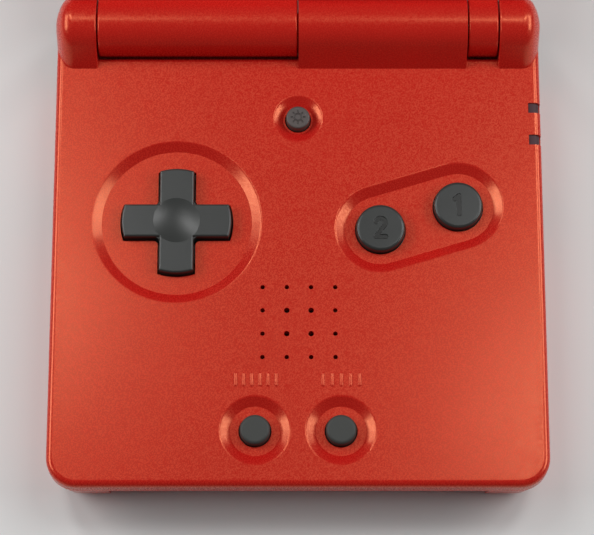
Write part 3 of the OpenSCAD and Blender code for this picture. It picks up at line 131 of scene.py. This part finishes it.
def link(finish, out_node, out_name, in_node, in_name):
    """Links one node's output to another node's input."""
    finish.node_tree.links.new(out_node.outputs[out_name], in_node.inputs[in_name])


def shader_of(finish):
    return finish.node_tree.nodes["Principled BSDF"]


def place(finish):
    """The node that gives a point's place on its object, in metres."""
    for node in finish.node_tree.nodes:
        if node.bl_idname == "ShaderNodeTexCoord":
            return node
    return add(finish, "ShaderNodeTexCoord")


def noise(finish, scale, detail=3.0, roughness=0.55, stretch=None):
    """A noise pattern; stretch squeezes it along each axis."""
    pattern = add(finish, "ShaderNodeTexNoise", Scale=scale, Detail=detail, Roughness=roughness)
    if stretch:
        mapping = add(finish, "ShaderNodeMapping")
        mapping.inputs["Scale"].default_value = stretch
        link(finish, place(finish), "Object", mapping, "Vector")
        link(finish, mapping, "Vector", pattern, "Vector")
    else:
        link(finish, place(finish), "Object", pattern, "Vector")
    return pattern


def ramp(finish, source, output, stops):
    """A colour ramp over a pattern; stops are (position, colour)."""
    node = add(finish, "ShaderNodeValToRGB")
    link(finish, source, output, node, "Fac")
    marks = node.color_ramp.elements
    while len(marks) < len(stops):
        marks.new(0.5)
    for mark, (position, colour) in zip(marks, stops):
        mark.position = position
        mark.color = (*colour, 1)
    return node


def spread(finish, source, output, low, high, from_low=0.2, from_high=0.8):
    """Spreads a pattern's middle values over low to high."""
    node = add(finish, "ShaderNodeMapRange")
    link(finish, source, output, node, "Value")
    node.inputs["From Min"].default_value = from_low
    node.inputs["From Max"].default_value = from_high
    node.inputs["To Min"].default_value = low
    node.inputs["To Max"].default_value = high
    return node


def bumped(finish, patterns):
    """Chains bumps into the shader's normal; patterns are (node, output, strength, height)."""
    before = None
    for pattern, output, strength, height in patterns:
        node = add(finish, "ShaderNodeBump", Strength=strength, Distance=height)
        link(finish, pattern, output, node, "Height")
        if before:
            link(finish, before, "Normal", node, "Normal")
        before = node
    link(finish, before, "Normal", shader_of(finish), "Normal")


def multiplied(finish, one, other):
    """The product of two colours, each a (node, output) pair, as a socket."""
    mixed = add(finish, "ShaderNodeMix", data_type="RGBA", blend_type="MULTIPLY")
    mixed.inputs["Factor"].default_value = 1.0
    link(finish, *one, mixed, "A")
    link(finish, *other, mixed, "B")
    return mixed.outputs["Result"]


def shaded(colour, by):
    """The colour made lighter or darker by a factor."""
    return tuple(min(1.0, c * by) for c in colour)


def moulded(name, colour, roughness=0.45, vary=0.12, grain=4000, depth=4e-6, **values):
    """Moulded plastic or rubber: fine grain, slow changes of tone, and uneven gloss. The floor of a
    sunk mark, where the mesh has an attribute called cut, is painted in shade at half the tone."""
    finish = new_finish(name, **values)
    cloud = noise(finish, 120, 4)
    fine = noise(finish, grain, 2)
    tone = ramp(finish, cloud, "Fac", [(0.2, shaded(colour, 1 - vary)), (0.8, shaded(colour, 1 + vary))])
    # Painted shade: where the cut attribute is 1, the floor of a sunk mark is darkened to about half.
    sunk = add(finish, "ShaderNodeAttribute", attribute_name="cut")
    shade = ramp(finish, sunk, "Fac", [(0.0, (1.0, 1.0, 1.0)), (1.0, (0.50, 0.46, 0.44))])
    mixed = multiplied(finish, (tone, "Color"), (shade, "Color"))
    finish.node_tree.links.new(mixed, shader_of(finish).inputs["Base Color"])
    gloss = spread(finish, cloud, "Fac", roughness - 0.05, roughness + 0.05)
    link(finish, gloss, "Result", shader_of(finish), "Roughness")
    bumped(finish, [(fine, "Fac", 0.35, depth)])
    return finish


# %% [markdown]
# ## Red paint
# The shells are sprayed with a satin pearl red. Seen away from the lamps it is deep crimson, and
# where it mirrors a lamp it turns salmon, because the fine flakes in it shine orange. A metal
# shader would tint shade and shine alike, so this is a crimson base whose mirror layer has twice
# the usual strength and an orange tint. Flakes are a cell pattern of about 0.15 mm, each cell a
# little lighter or darker and a little more or less glossy, which gives the fine sparkle. A slow
# noise changes the tone over the face as a sprayed coat does.

# %% Red paint
RED = (0.565, 0.0130, 0.0100)
FLAKE_SHINE = (1.0, 0.61, 0.30, 1)
FLAKES_PER_M = 6500


def red_paint(name):
    """Pearl paint: crimson under an orange shine, flake cells for tone and gloss, slow cloud."""
    finish = new_finish(name, Metallic=0.09, Specular_IOR_Level=1.0, Specular_Tint=FLAKE_SHINE)
    cloud = noise(finish, 45, 2)
    flakes = add(finish, "ShaderNodeTexVoronoi", Scale=FLAKES_PER_M)
    link(finish, place(finish), "Object", flakes, "Vector")
    tone = ramp(finish, cloud, "Fac", [(0.2, shaded(RED, 0.965)), (0.8, shaded(RED, 1.035))])
    sparkle = ramp(finish, flakes, "Color", [(0.0, (0.97, 0.80, 0.78)), (1.0, (1.0, 1.0, 1.0))])
    mixed = multiplied(finish, (tone, "Color"), (sparkle, "Color"))
    finish.node_tree.links.new(mixed, shader_of(finish).inputs["Base Color"])
    gloss = spread(finish, flakes, "Color", 0.12, 0.40, 0.0, 1.0)
    link(finish, gloss, "Result", shader_of(finish), "Roughness")
    peel = noise(finish, 1400, 2)
    bumped(finish, [(flakes, "Distance", 0.05, 8e-6), (peel, "Fac", 0.07, 8e-6)])
    return finish


paint = red_paint("pearl_red_paint")
print("made", paint.name)

# %% [markdown]
# ## Plastics, rubber and metals
# The keys are dark grey with a silky surface, the small round keys are rubber and duller, and the
# parts inside are mostly black. They differ only in tone, gloss and grain, so one function makes
# them all. Metals share a second recipe: a metallic shader whose roughness has fine streaks, as
# drawn or turned metal has.

# %% Plastics and rubber
key_grey = moulded("silky_grey_keys", (0.030, 0.032, 0.030), 0.31, 0.05, 5000, 3e-6, Specular_IOR_Level=0.5)
lamp_key_grey = moulded("warm_grey_lamp_key", (0.074, 0.058, 0.054), 0.45, 0.05, 5000, 3e-6)
rubber_grey = moulded("dull_grey_rubber", (0.040, 0.042, 0.038), 0.6, 0.05, 3500, 6e-6)
sheet_rubber = moulded("pale_sheet_rubber", (0.38, 0.38, 0.36), 0.7, 0.08, 2500, 8e-6)
black_plastic = moulded("black_plastic", (0.022, 0.022, 0.024), 0.45, 0.2, 3500, 5e-6)
foam_black = moulded("black_foam", (0.016, 0.016, 0.017), 0.9, 0.3, 1800, 4e-5)
cream_plastic = moulded("cream_plastic", (0.72, 0.68, 0.56), 0.42, 0.05, 3500, 3e-6)
battery_wrap = moulded("battery_wrap", (0.10, 0.11, 0.13), 0.35, 0.1, 900, 1e-5)
dark_window = moulded(
    "dark_lamp_window", (0.070, 0.032, 0.038), 0.5, 0.1, 2500, 2e-6, Specular_IOR_Level=0.2
)
print("plastics and rubber made")


# %% Metals
def metal(name, colour, roughness=0.3, streak=(400, 400, 9000)):
    """Drawn metal: roughness and fine bumps follow a noise that is stretched into streaks."""
    finish = new_finish(name, Metallic=1.0)
    streaks = noise(finish, 1, 3, 0.6, streak)
    tone = ramp(finish, streaks, "Fac", [(0.3, shaded(colour, 0.86)), (0.7, shaded(colour, 1.06))])
    link(finish, tone, "Color", shader_of(finish), "Base Color")
    gloss = spread(finish, streaks, "Fac", roughness - 0.06, roughness + 0.1)
    link(finish, gloss, "Result", shader_of(finish), "Roughness")
    bumped(finish, [(streaks, "Fac", 0.15, 2e-6)])
    return finish


steel = metal("drawn_steel", (0.58, 0.57, 0.55))
screw_steel = metal("dark_screw_steel", (0.30, 0.29, 0.28), 0.35, (3000, 3000, 3000))
gold = metal("gold_plate", (0.83, 0.58, 0.22), 0.25, (3000, 400, 3000))
print("metals made")

# %% [markdown]
# ## Board and film
# The circuit board has green lacquer over copper tracks, drawn here with a stretched brick
# pattern. The display cable is amber film with fine conductors, drawn with a band pattern. Neither
# is seen while the shells are on, so a pattern is enough and no track is modelled.


# %% Circuit board and film
def board_green():
    """Green lacquer; a brick pattern gives the tracks."""
    finish = new_finish("green_board", Roughness=0.35)
    tracks = add(finish, "ShaderNodeTexBrick", Scale=420.0, Mortar_Size=0.06)
    tracks.inputs["Brick Width"].default_value = 1.7
    tracks.inputs["Row Height"].default_value = 0.22
    tracks.inputs["Color1"].default_value = (0.016, 0.13, 0.055, 1)
    tracks.inputs["Color2"].default_value = (0.022, 0.16, 0.07, 1)
    tracks.inputs["Mortar"].default_value = (0.008, 0.07, 0.03, 1)
    link(finish, place(finish), "Object", tracks, "Vector")
    link(finish, tracks, "Color", shader_of(finish), "Base Color")
    bumped(finish, [(tracks, "Fac", 0.3, 2e-5)])
    return finish


def amber_film():
    """Amber film with conductors: a band pattern across the cable, 0.5 mm apart."""
    finish = new_finish("amber_film", Roughness=0.3)
    bands = add(finish, "ShaderNodeTexWave", Scale=600.0, bands_direction="X", Distortion=0.0)
    link(finish, place(finish), "Object", bands, "Vector")
    tone = ramp(finish, bands, "Color", [(0.35, (0.42, 0.17, 0.03)), (0.65, (0.62, 0.33, 0.08))])
    link(finish, tone, "Color", shader_of(finish), "Base Color")
    bumped(finish, [(bands, "Fac", 0.2, 1e-5)])
    return finish


green = board_green()
film = amber_film()
print("board and film made")

# %% [markdown]
# ## Lens, panel and light guide
# The lens over the display is clear plastic, printed gloss black on its back all round the window.
# The print ends a little outside the picture, with round corners. So the mask is the distance from
# a rounded rectangle in the lid's own plane: the lid is turned about the hinge, and a Mapping node
# turns Object coordinates back before they are measured. The panel behind it has a fine grid of
# picture cells, and the light guide is clear with a faint grain that scatters the light.

# %% The lid's plane
LID_OPEN = math.radians(145)
LID_TURN = math.pi - LID_OPEN
lens_low, lens_high = (np.array(corner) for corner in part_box("screen_lens"))
LENS_MIDDLE = (lens_low + lens_high) / 2
SCREEN_W = 61.2
SCREEN_H = 40.8
PRINT_GAP = 0.8
PRINT_CORNER = 1.2


def lid_plane(finish):
    """Places on the lid, in metres from the middle of the lens, with X across and Y up the lens."""
    shift = add(finish, "ShaderNodeVectorMath", operation="SUBTRACT")
    link(finish, place(finish), "Object", shift, 0)
    shift.inputs[1].default_value = LENS_MIDDLE
    turn = add(finish, "ShaderNodeMapping")
    turn.inputs["Rotation"].default_value = (-LID_TURN, 0, 0)
    link(finish, shift, "Vector", turn, "Vector")
    return turn


def calc(finish, operation, *values):
    """A Math node; a value is a number or a (node, output) pair."""
    node = add(finish, "ShaderNodeMath", operation=operation)
    for socket, value in zip(node.inputs, values):
        if isinstance(value, tuple):
            finish.node_tree.links.new(value[0].outputs[value[1]], socket)
        else:
            socket.default_value = value
    return node, 0


def window_mask(finish, width_mm, height_mm, corner_mm):
    """1 outside a rounded rectangle and 0 inside: the distance past its corner circles' centres."""
    parts = add(finish, "ShaderNodeSeparateXYZ")
    link(finish, lid_plane(finish), "Vector", parts, "Vector")
    past = []
    for axis, size in (("X", width_mm), ("Y", height_mm)):
        place_along = calc(finish, "ABSOLUTE", (parts, axis))
        inset = calc(finish, "SUBTRACT", place_along, (size / 2 - corner_mm) * MM)
        past.append(calc(finish, "MAXIMUM", inset, 0.0))
    squares = [calc(finish, "MULTIPLY", side, side) for side in past]
    distance = calc(finish, "SQRT", calc(finish, "ADD", *squares))
    return calc(finish, "GREATER_THAN", distance, corner_mm * MM)


# %% Lens
def printed_lens():
    """Clear plastic mixed with gloss black print by the window's mask."""
    finish = new_finish("printed_lens", Roughness=0.06, Coat_Weight=0.5, Coat_Roughness=0.04)
    cloud = noise(finish, 60, 2)
    black = ramp(finish, cloud, "Fac", [(0.3, (0.010, 0.010, 0.011)), (0.7, (0.016, 0.016, 0.018))])
    link(finish, black, "Color", shader_of(finish), "Base Color")
    window = add(finish, "ShaderNodeBsdfPrincipled", Roughness=0.04, IOR=1.49)
    window.inputs["Transmission Weight"].default_value = 1.0
    clear = ramp(finish, cloud, "Fac", [(0.3, (0.90, 0.92, 0.92)), (0.7, (0.94, 0.95, 0.95))])
    link(finish, clear, "Color", window, "Base Color")
    mixed = add(finish, "ShaderNodeMixShader")
    mask = window_mask(finish, SCREEN_W + 2 * PRINT_GAP, SCREEN_H + 2 * PRINT_GAP, PRINT_CORNER)
    finish.node_tree.links.new(mask[0].outputs[mask[1]], mixed.inputs["Fac"])
    finish.node_tree.links.new(window.outputs["BSDF"], mixed.inputs[1])
    finish.node_tree.links.new(shader_of(finish).outputs["BSDF"], mixed.inputs[2])
    link(finish, mixed, "Shader", finish.node_tree.nodes["Material Output"], "Surface")
    return finish


# %% Panel and guide
def picture_cells():
    """A display that is off: grey-green glass with a brick grid of cells 0.25 mm apart."""
    finish = new_finish("picture_cells", Roughness=0.25)
    cells = add(finish, "ShaderNodeTexBrick", Scale=1000.0, offset=0.0)
    cells.inputs["Brick Width"].default_value = 0.25
    cells.inputs["Row Height"].default_value = 0.25
    cells.inputs["Mortar Size"].default_value = 0.02
    cells.inputs["Color1"].default_value = (0.108, 0.121, 0.111, 1)
    cells.inputs["Color2"].default_value = (0.113, 0.126, 0.116, 1)
    cells.inputs["Mortar"].default_value = (0.098, 0.110, 0.101, 1)
    link(finish, lid_plane(finish), "Vector", cells, "Vector")
    link(finish, cells, "Color", shader_of(finish), "Base Color")
    bumped(finish, [(cells, "Fac", 0.02, 1e-6)])
    return finish


def clear_guide():
    """Clear plastic with a faint cloud in its tint and a fine grain."""
    finish = new_finish("clear_guide_plastic", Roughness=0.12, IOR=1.49, Transmission_Weight=0.95)
    tone = ramp(finish, noise(finish, 90, 3), "Fac", [(0.3, (0.86, 0.90, 0.90)), (0.7, (0.93, 0.95, 0.95))])
    link(finish, tone, "Color", shader_of(finish), "Base Color")
    bumped(finish, [(noise(finish, 900, 2), "Fac", 0.02, 1e-6)])
    return finish


lens = printed_lens()
panel = picture_cells()
guide = clear_guide()
print("lens, panel and guide made")

# %% [markdown]
# ## A finish for every node
# Nodes of one make share one finish, as parts from one mould or one spray booth do, so the list
# goes from finish to nodes. The last line prints any node that the list forgets.

# %% Finish of every node
finishes = {
    paint: "base_upper_shell base_lower_shell battery_cover lid_outer_shell lid_inner_frame",
    key_grey: "direction_pad left_action_button right_action_button left_shoulder_button"
    " right_shoulder_button power_knob volume_knob",
    lamp_key_grey: "light_button",
    rubber_grey: "left_small_button right_small_button lid_screw_covers",
    sheet_rubber: "pad_membrane action_membrane small_membrane",
    black_plastic: "cartridge_connector speaker light_switch left_shoulder_switch right_shoulder_switch"
    " link_port charge_port power_switch volume_wheel_case hinge_clutch_case",
    foam_black: "display_gasket",
    cream_plastic: "cable_connector",
    battery_wrap: "battery_pack",
    dark_window: "rear_light_window front_light_window",
    steel: "left_shoulder_pin right_shoulder_pin left_shoulder_spring right_shoulder_spring"
    " hinge_clutch_shaft hinge_pin rocking_ball",
    screw_steel: "case_screws lid_screws battery_cover_screw",
    gold: "battery_contacts",
    green: "main_board",
    film: "cable_roll cable_tail",
    lens: "screen_lens",
    panel: "display_panel",
    guide: "light_guide",
}
for finish, names in finishes.items():
    for name in names.split():
        for slot in nodes[name].material_slots:
            slot.material = finish
print("nodes without a finish yet:", sorted(set(nodes) - set(" ".join(finishes.values()).split())))

# %% [markdown]
# ## Surfaces from rings
# The fine pieces below are closed solids of revolution, or nearly so. Each is a grid of points: one
# direction goes round, the other runs along a profile from the lowest pole, outwards, up and in
# again to the highest pole. Worked out with numpy as one array, it goes into a mesh in one call.
# Points that fall together at the poles are merged, so that the mesh is closed.


# %% Ring surfaces
def ring_faces(rows, columns, first):
    """Four corners of each patch between ring i and ring i + 1, numbered from first."""
    i, j = np.meshgrid(np.arange(rows - 1), np.arange(columns), indexing="ij")
    after = (j + 1) % columns
    corners = [i * columns + j, i * columns + after, (i + 1) * columns + after, (i + 1) * columns + j]
    return first + np.stack(corners, -1).reshape(-1, 4)


def ring_piece(name, ring_sets, finish, body, cut=None, sharp_degrees=32):
    """A mesh from one or more arrays [ring, point around, xyz] in mm; cut is one value per point."""
    first, faces, points = 0, [], []
    for rings in ring_sets:
        faces.append(ring_faces(rings.shape[0], rings.shape[1], first))
        points.append(rings.reshape(-1, 3))
        first += len(points[-1])
    mesh = bpy.data.meshes.new(name)
    mesh.from_pydata((np.vstack(points) * MM).tolist(), [], np.vstack(faces).tolist())
    if cut is not None:
        layer = mesh.attributes.new("cut", "FLOAT", "POINT")
        layer.data.foreach_set("value", cut.ravel().astype(np.float32))
    work = bmesh.new()
    work.from_mesh(mesh)
    bmesh.ops.remove_doubles(work, verts=work.verts, dist=1e-7)
    open_edges = sum(not edge.is_manifold for edge in work.edges)
    work.to_mesh(mesh)
    work.free()
    mesh.shade_smooth()
    mesh.set_sharp_from_angle(angle=math.radians(sharp_degrees))
    mesh.materials.append(finish)
    piece = bpy.data.objects.new(name, mesh)
    bpy.context.scene.collection.objects.link(piece)
    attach(piece, body)
    print(name, "faces:", len(mesh.polygons), "open edges:", open_edges)
    return piece


def around(count):
    """Angles of the points of a ring, anticlockwise."""
    return np.linspace(0, 2 * math.pi, count, endpoint=False)


# %% [markdown]
# ## Engraved key tops
# The marks on the two action keys and on the light key are sunk about a tenth of a millimetre into
# the tops. A boolean would leave ragged rims on such shallow marks, and bump alone would be lost in
# the mesh. So the top is a fine grid of rings, and each of its points goes down by a smooth step of
# its distance from the strokes of the mark. The same step darkens the floor of the mark as painted
# shade. The action keys have plain numbers here, and the light key a plain sun.


# %% Marks as strokes
def arc(x, y, radius, start, end, steps=14):
    """Points on a circle from one angle to another, in degrees."""
    turn = np.radians(np.linspace(start, end, steps))
    return np.column_stack([x + radius * np.cos(turn), y + radius * np.sin(turn)])


def stroke_distance(x, y, strokes):
    """Distance from the nearest stroke. On a piece from a to b, the nearest point lies at the share
    ((p - a) . (b - a)) / |b - a| squared, kept within 0 and 1."""
    nearest = np.full(x.shape, np.inf)
    for stroke in strokes:
        for a, b in zip(stroke[:-1], stroke[1:]):
            run = b - a
            share = np.clip(((x - a[0]) * run[0] + (y - a[1]) * run[1]) / (run @ run), 0, 1)
            nearest = np.minimum(nearest, np.hypot(x - a[0] - share * run[0], y - a[1] - share * run[1]))
    return nearest


ONE = [np.array([(-0.62, 0.98), (0.12, 1.58), (0.12, -1.62)])]
TWO = [np.vstack([arc(0.0, 0.82, 0.78, 172, -28), [(-0.78, -1.62), (0.86, -1.62)]])]
RAY_IN, RAY_OUT = 0.92, 1.14
SUN = [arc(0, 0, 0.62, 0, 360, 33)] + [
    np.array([(RAY_IN * math.cos(a), RAY_IN * math.sin(a)), (RAY_OUT * math.cos(a), RAY_OUT * math.sin(a))])
    for a in np.radians(np.arange(0, 360, 45))
]

# %% Engraved keys
FLANGE_T = 0.7
FLANGE_W = 0.8
TOP_STEP = 0.055
TOP_POINTS = 224
MARK_SOFT = 0.07


def engraved_key(node, edge, strokes, half_stroke, depth, finish, body):
    """A key with a flange: a revolved profile of radius and height. On the flat top, the height falls
    by depth times a smooth step that goes from 0 to 1 as the distance to a stroke goes from
    half_stroke + MARK_SOFT to half_stroke."""
    low, high = (np.array(corner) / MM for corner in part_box(node))
    flange_r = (high[1] - low[1]) / 2
    stem_r = flange_r - FLANGE_W
    middle = (low + high) / 2
    bend = np.linspace(0, math.pi / 2, 7)
    flat = np.linspace(stem_r - edge, 0, int((stem_r - edge) / TOP_STEP) + 1)[1:]
    radius = np.concatenate([[0, flange_r, flange_r, stem_r], stem_r - edge * (1 - np.cos(bend)), flat])
    shelf = low[2] + FLANGE_T
    height = np.concatenate([[low[2], low[2], shelf, shelf], high[2] - edge * (1 - np.sin(bend)),
                             np.full(len(flat), high[2])])
    turn = around(TOP_POINTS)
    x, y = np.outer(radius, np.cos(turn)), np.outer(radius, np.sin(turn))
    share = np.clip((half_stroke + MARK_SOFT - stroke_distance(x, y, strokes)) / MARK_SOFT, 0, 1)
    step = share * share * (3 - 2 * share) * (height[:, None] > high[2] - 1e-6)
    z = height[:, None] - depth * step
    rings = np.stack([x + middle[0], y + middle[1], z], -1)
    # The step also becomes the cut attribute, which paints shade on the floor of the mark.
    piece = ring_piece(node + "_engraved", [rings], finish, body, cut=step)
    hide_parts(node)


engraved_key("left_action_button", edge=0.5, strokes=TWO, half_stroke=0.34, depth=0.13,
             finish=key_grey, body="left_action")
engraved_key("right_action_button", edge=0.5, strokes=ONE, half_stroke=0.36, depth=0.13,
             finish=key_grey, body="right_action")
engraved_key("light_button", edge=0.3, strokes=SUN, half_stroke=0.09, depth=0.08,
             finish=lamp_key_grey, body="light_key")

# %% [markdown]
# ## Raised marks on the face
# Two short rows of raised marks stand in the moulding behind the small round keys, in the same red
# paint. Here they are plain upright ridges, six and five of them, each a long bead with round ends:
# the ring at each height is a circle that is pulled apart along Y.

# %% Face ridges
RIDGE_Y = -24.4
RIDGE_L = 2.4
RIDGE_W = 0.55
RIDGE_H = 0.14
RIDGE_SUNK = 0.06
RIDGE_ROWS = ((-6.9, 6, 7.2), (7.1, 5, 6.6))


def ridge(x, y):
    """A bead with round ends. Over a quarter turn t, the radius is W / 2 times cos t, and the height
    above the face is H times sin t."""
    rise = np.linspace(0, math.pi / 2, 5)
    radius = RIDGE_W / 2 * np.concatenate([[0, 1], np.cos(rise)[1:]])
    height = DECK_Z + np.concatenate([[-RIDGE_SUNK, -RIDGE_SUNK], RIDGE_H * np.sin(rise)[1:]])
    radius, height = np.insert(radius, 2, RIDGE_W / 2), np.insert(height, 2, DECK_Z)
    turn = around(16) + math.pi / 16
    pull = np.sign(np.sin(turn)) * (RIDGE_L - RIDGE_W) / 2
    rings = np.empty((len(radius), len(turn), 3))
    rings[..., 0] = x + np.outer(radius, np.cos(turn))
    rings[..., 1] = y + np.outer(radius, np.sin(turn)) + pull
    rings[..., 2] = height[:, None]
    return rings


# Each row has its middle, its number of ridges and its full width.
ridges = [
    ridge(middle + (k / (count - 1) - 0.5) * (width - RIDGE_W), RIDGE_Y)
    for middle, count, width in RIDGE_ROWS
    for k in range(count)
]
ring_piece("raised_face_marks", ridges, paint, "base")

# %% [markdown]
# ## Spring contacts
# A cartridge presses on a row of 32 gold leaves at the end of its slot, and the two sockets at the
# back have contacts on both faces of their tongues. A leaf is a small rounded bar along a bowed
# line, so each ring is that bar's outline and the profile is the line. The leaves differ only in X.

# %% Leaves
LEAF_PITCH = 1.5
LEAF_COUNT = 32
LEAF_W = 0.7
LEAF_T = 0.2
LEAF_BACK = 1.4
LEAF_RUN = 2.9
LEAF_BOW = 0.75
LEAF_GAP = 0.02


def leaf(x, path, width, thickness):
    """A bar along path, points (y, z) in mm: an eight-sided outline, squashed at both ends to a pole.
    Across the path, the outline's up direction is the path's direction turned by a quarter."""
    run = np.gradient(path, axis=0)
    run /= np.linalg.norm(run, axis=1)[:, None]
    up = np.column_stack([-run[:, 1], run[:, 0]])
    size = np.ones(len(path))
    size[[0, -1]] = 0
    path, up, size = (np.insert(a, [1, len(a) - 1], [a[0], a[-1]], axis=0) for a in (path, up, size))
    size[[1, -2]] = 1
    turn = around(8) + math.pi / 8
    across = np.outer(size, np.cos(turn)) * width / 2 / math.cos(math.pi / 8)
    rise = np.outer(size, np.sin(turn)) * thickness / 2 / math.cos(math.pi / 8)
    rings = np.empty((len(path), len(turn), 3))
    rings[..., 0] = x - across
    rings[..., 1] = path[:, :1] + rise * up[:, :1]
    rings[..., 2] = path[:, 1:] + rise * up[:, 1:]
    return rings


slot_low, slot_high = (np.array(corner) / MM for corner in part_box("cartridge_connector"))
bow = np.linspace(0, 1, 9)
MOUTH_LOW = slot_low[2] + 1.4
leaf_line = np.column_stack([
    slot_high[1] - LEAF_BACK - LEAF_RUN * bow,
    MOUTH_LOW + LEAF_T / 2 + LEAF_GAP + LEAF_BOW * np.sin(math.pi * bow) ** 2,
])
leaf_places = [(k - (LEAF_COUNT - 1) / 2) * LEAF_PITCH for k in range(LEAF_COUNT)]
leaves = [leaf(x, leaf_line, LEAF_W, LEAF_T) for x in leaf_places]
ring_piece("cartridge_leaves", leaves, gold, "base")

# %% Socket contacts
PORT_WALL = 0.65
TONGUE_FRONT = 2.4
TONGUE_BACK = 2.2
CONTACT_W = 0.9
CONTACT_T = 0.12
CONTACT_LIFT = 0.04


def socket_contacts(node, per_face):
    """Flat gold bars on the upper and lower face of the tongue in a socket."""
    low, high = (np.array(corner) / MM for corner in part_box(node))
    tongue_w = high[0] - low[0] - 6 * PORT_WALL
    middle = (low + high) / 2
    line = np.column_stack([np.linspace(low[1] + TONGUE_FRONT, high[1] - TONGUE_BACK, 4), np.zeros(4)])
    bars = []
    for face in (-1, 1):
        line[:, 1] = middle[2] + face * (PORT_WALL / 2 + CONTACT_LIFT)
        for k in range(per_face):
            x = middle[0] + ((k + 0.5) / per_face - 0.5) * (tongue_w - 1)
            bars.append(leaf(x, line.copy(), CONTACT_W, CONTACT_T))
    ring_piece(node + "_contacts", bars, gold, "base")


socket_contacts("link_port", 3)
socket_contacts("charge_port", 2)

# %% [markdown]
# ## The stage
# The object stands on a plain pale floor. Two soft lamps at the left and right give the bright side
# walls of the recesses. Two more stand high behind, just outside what the middle of the face
# mirrors to the camera, so its sides shine more than its middle. Each lamp's power is kept so that
# a white sheet beside the object would be under white in the picture.


# %% Floor
def stage_floor():
    """A square floor at the lowest point of the object, two metres wide."""
    z = cad_box[0][2]
    mesh = bpy.data.meshes.new("floor")
    mesh.from_pydata([(-1, -1, z), (1, -1, z), (1, 1, z), (-1, 1, z)], [], [(0, 1, 2, 3)])
    floor = bpy.data.objects.new("floor", mesh)
    bpy.context.scene.collection.objects.link(floor)
    finish = new_finish("pale_floor", Roughness=0.9, Specular_IOR_Level=0.1)
    tone = ramp(finish, noise(finish, 8, 2), "Fac", [(0.3, (0.79, 0.80, 0.79)), (0.7, (0.83, 0.84, 0.83))])
    link(finish, tone, "Color", shader_of(finish), "Base Color")
    mesh.materials.append(finish)
    print("floor at", round(z / MM, 2), "mm")


stage_floor()


# %% Lamps and world
def soft_lamp(name, place_mm, size_mm, watts):
    """An area lamp aimed at the middle of the control face."""
    data = bpy.data.lights.new(name, "AREA")
    data.shape = "RECTANGLE"
    data.size, data.size_y = size_mm[0] * MM, size_mm[1] * MM
    data.energy = watts
    lamp = bpy.data.objects.new(name, data)
    lamp.location = [c * MM for c in place_mm]
    aim = np.array([0, 0, 14.0]) - np.array(place_mm, float)
    side = math.atan2(aim[1], aim[0])
    drop = math.atan2(math.hypot(aim[0], aim[1]), -aim[2])
    lamp.rotation_euler = (drop, 0, side - math.pi / 2)
    bpy.context.scene.collection.objects.link(lamp)
    print(name, watts, "W")


soft_lamp("left_low_lamp", (-355, 65, 250), (340, 150), 0.98)
soft_lamp("right_low_lamp", (355, 60, 250), (340, 150), 0.88)
soft_lamp("left_high_lamp", (-190, 230, 520), (85, 300), 0.6)
soft_lamp("right_high_lamp", (195, 170, 520), (85, 300), 0.6)

world = bpy.data.worlds.new("soft_room")
world.use_nodes = True
room = world.node_tree.nodes["Background"]
room.inputs["Color"].default_value = (0.95, 0.97, 1.0, 1)
room.inputs["Strength"].default_value = 0.1
bpy.context.scene.world = world
bpy.context.scene.view_settings.view_transform = "Standard"
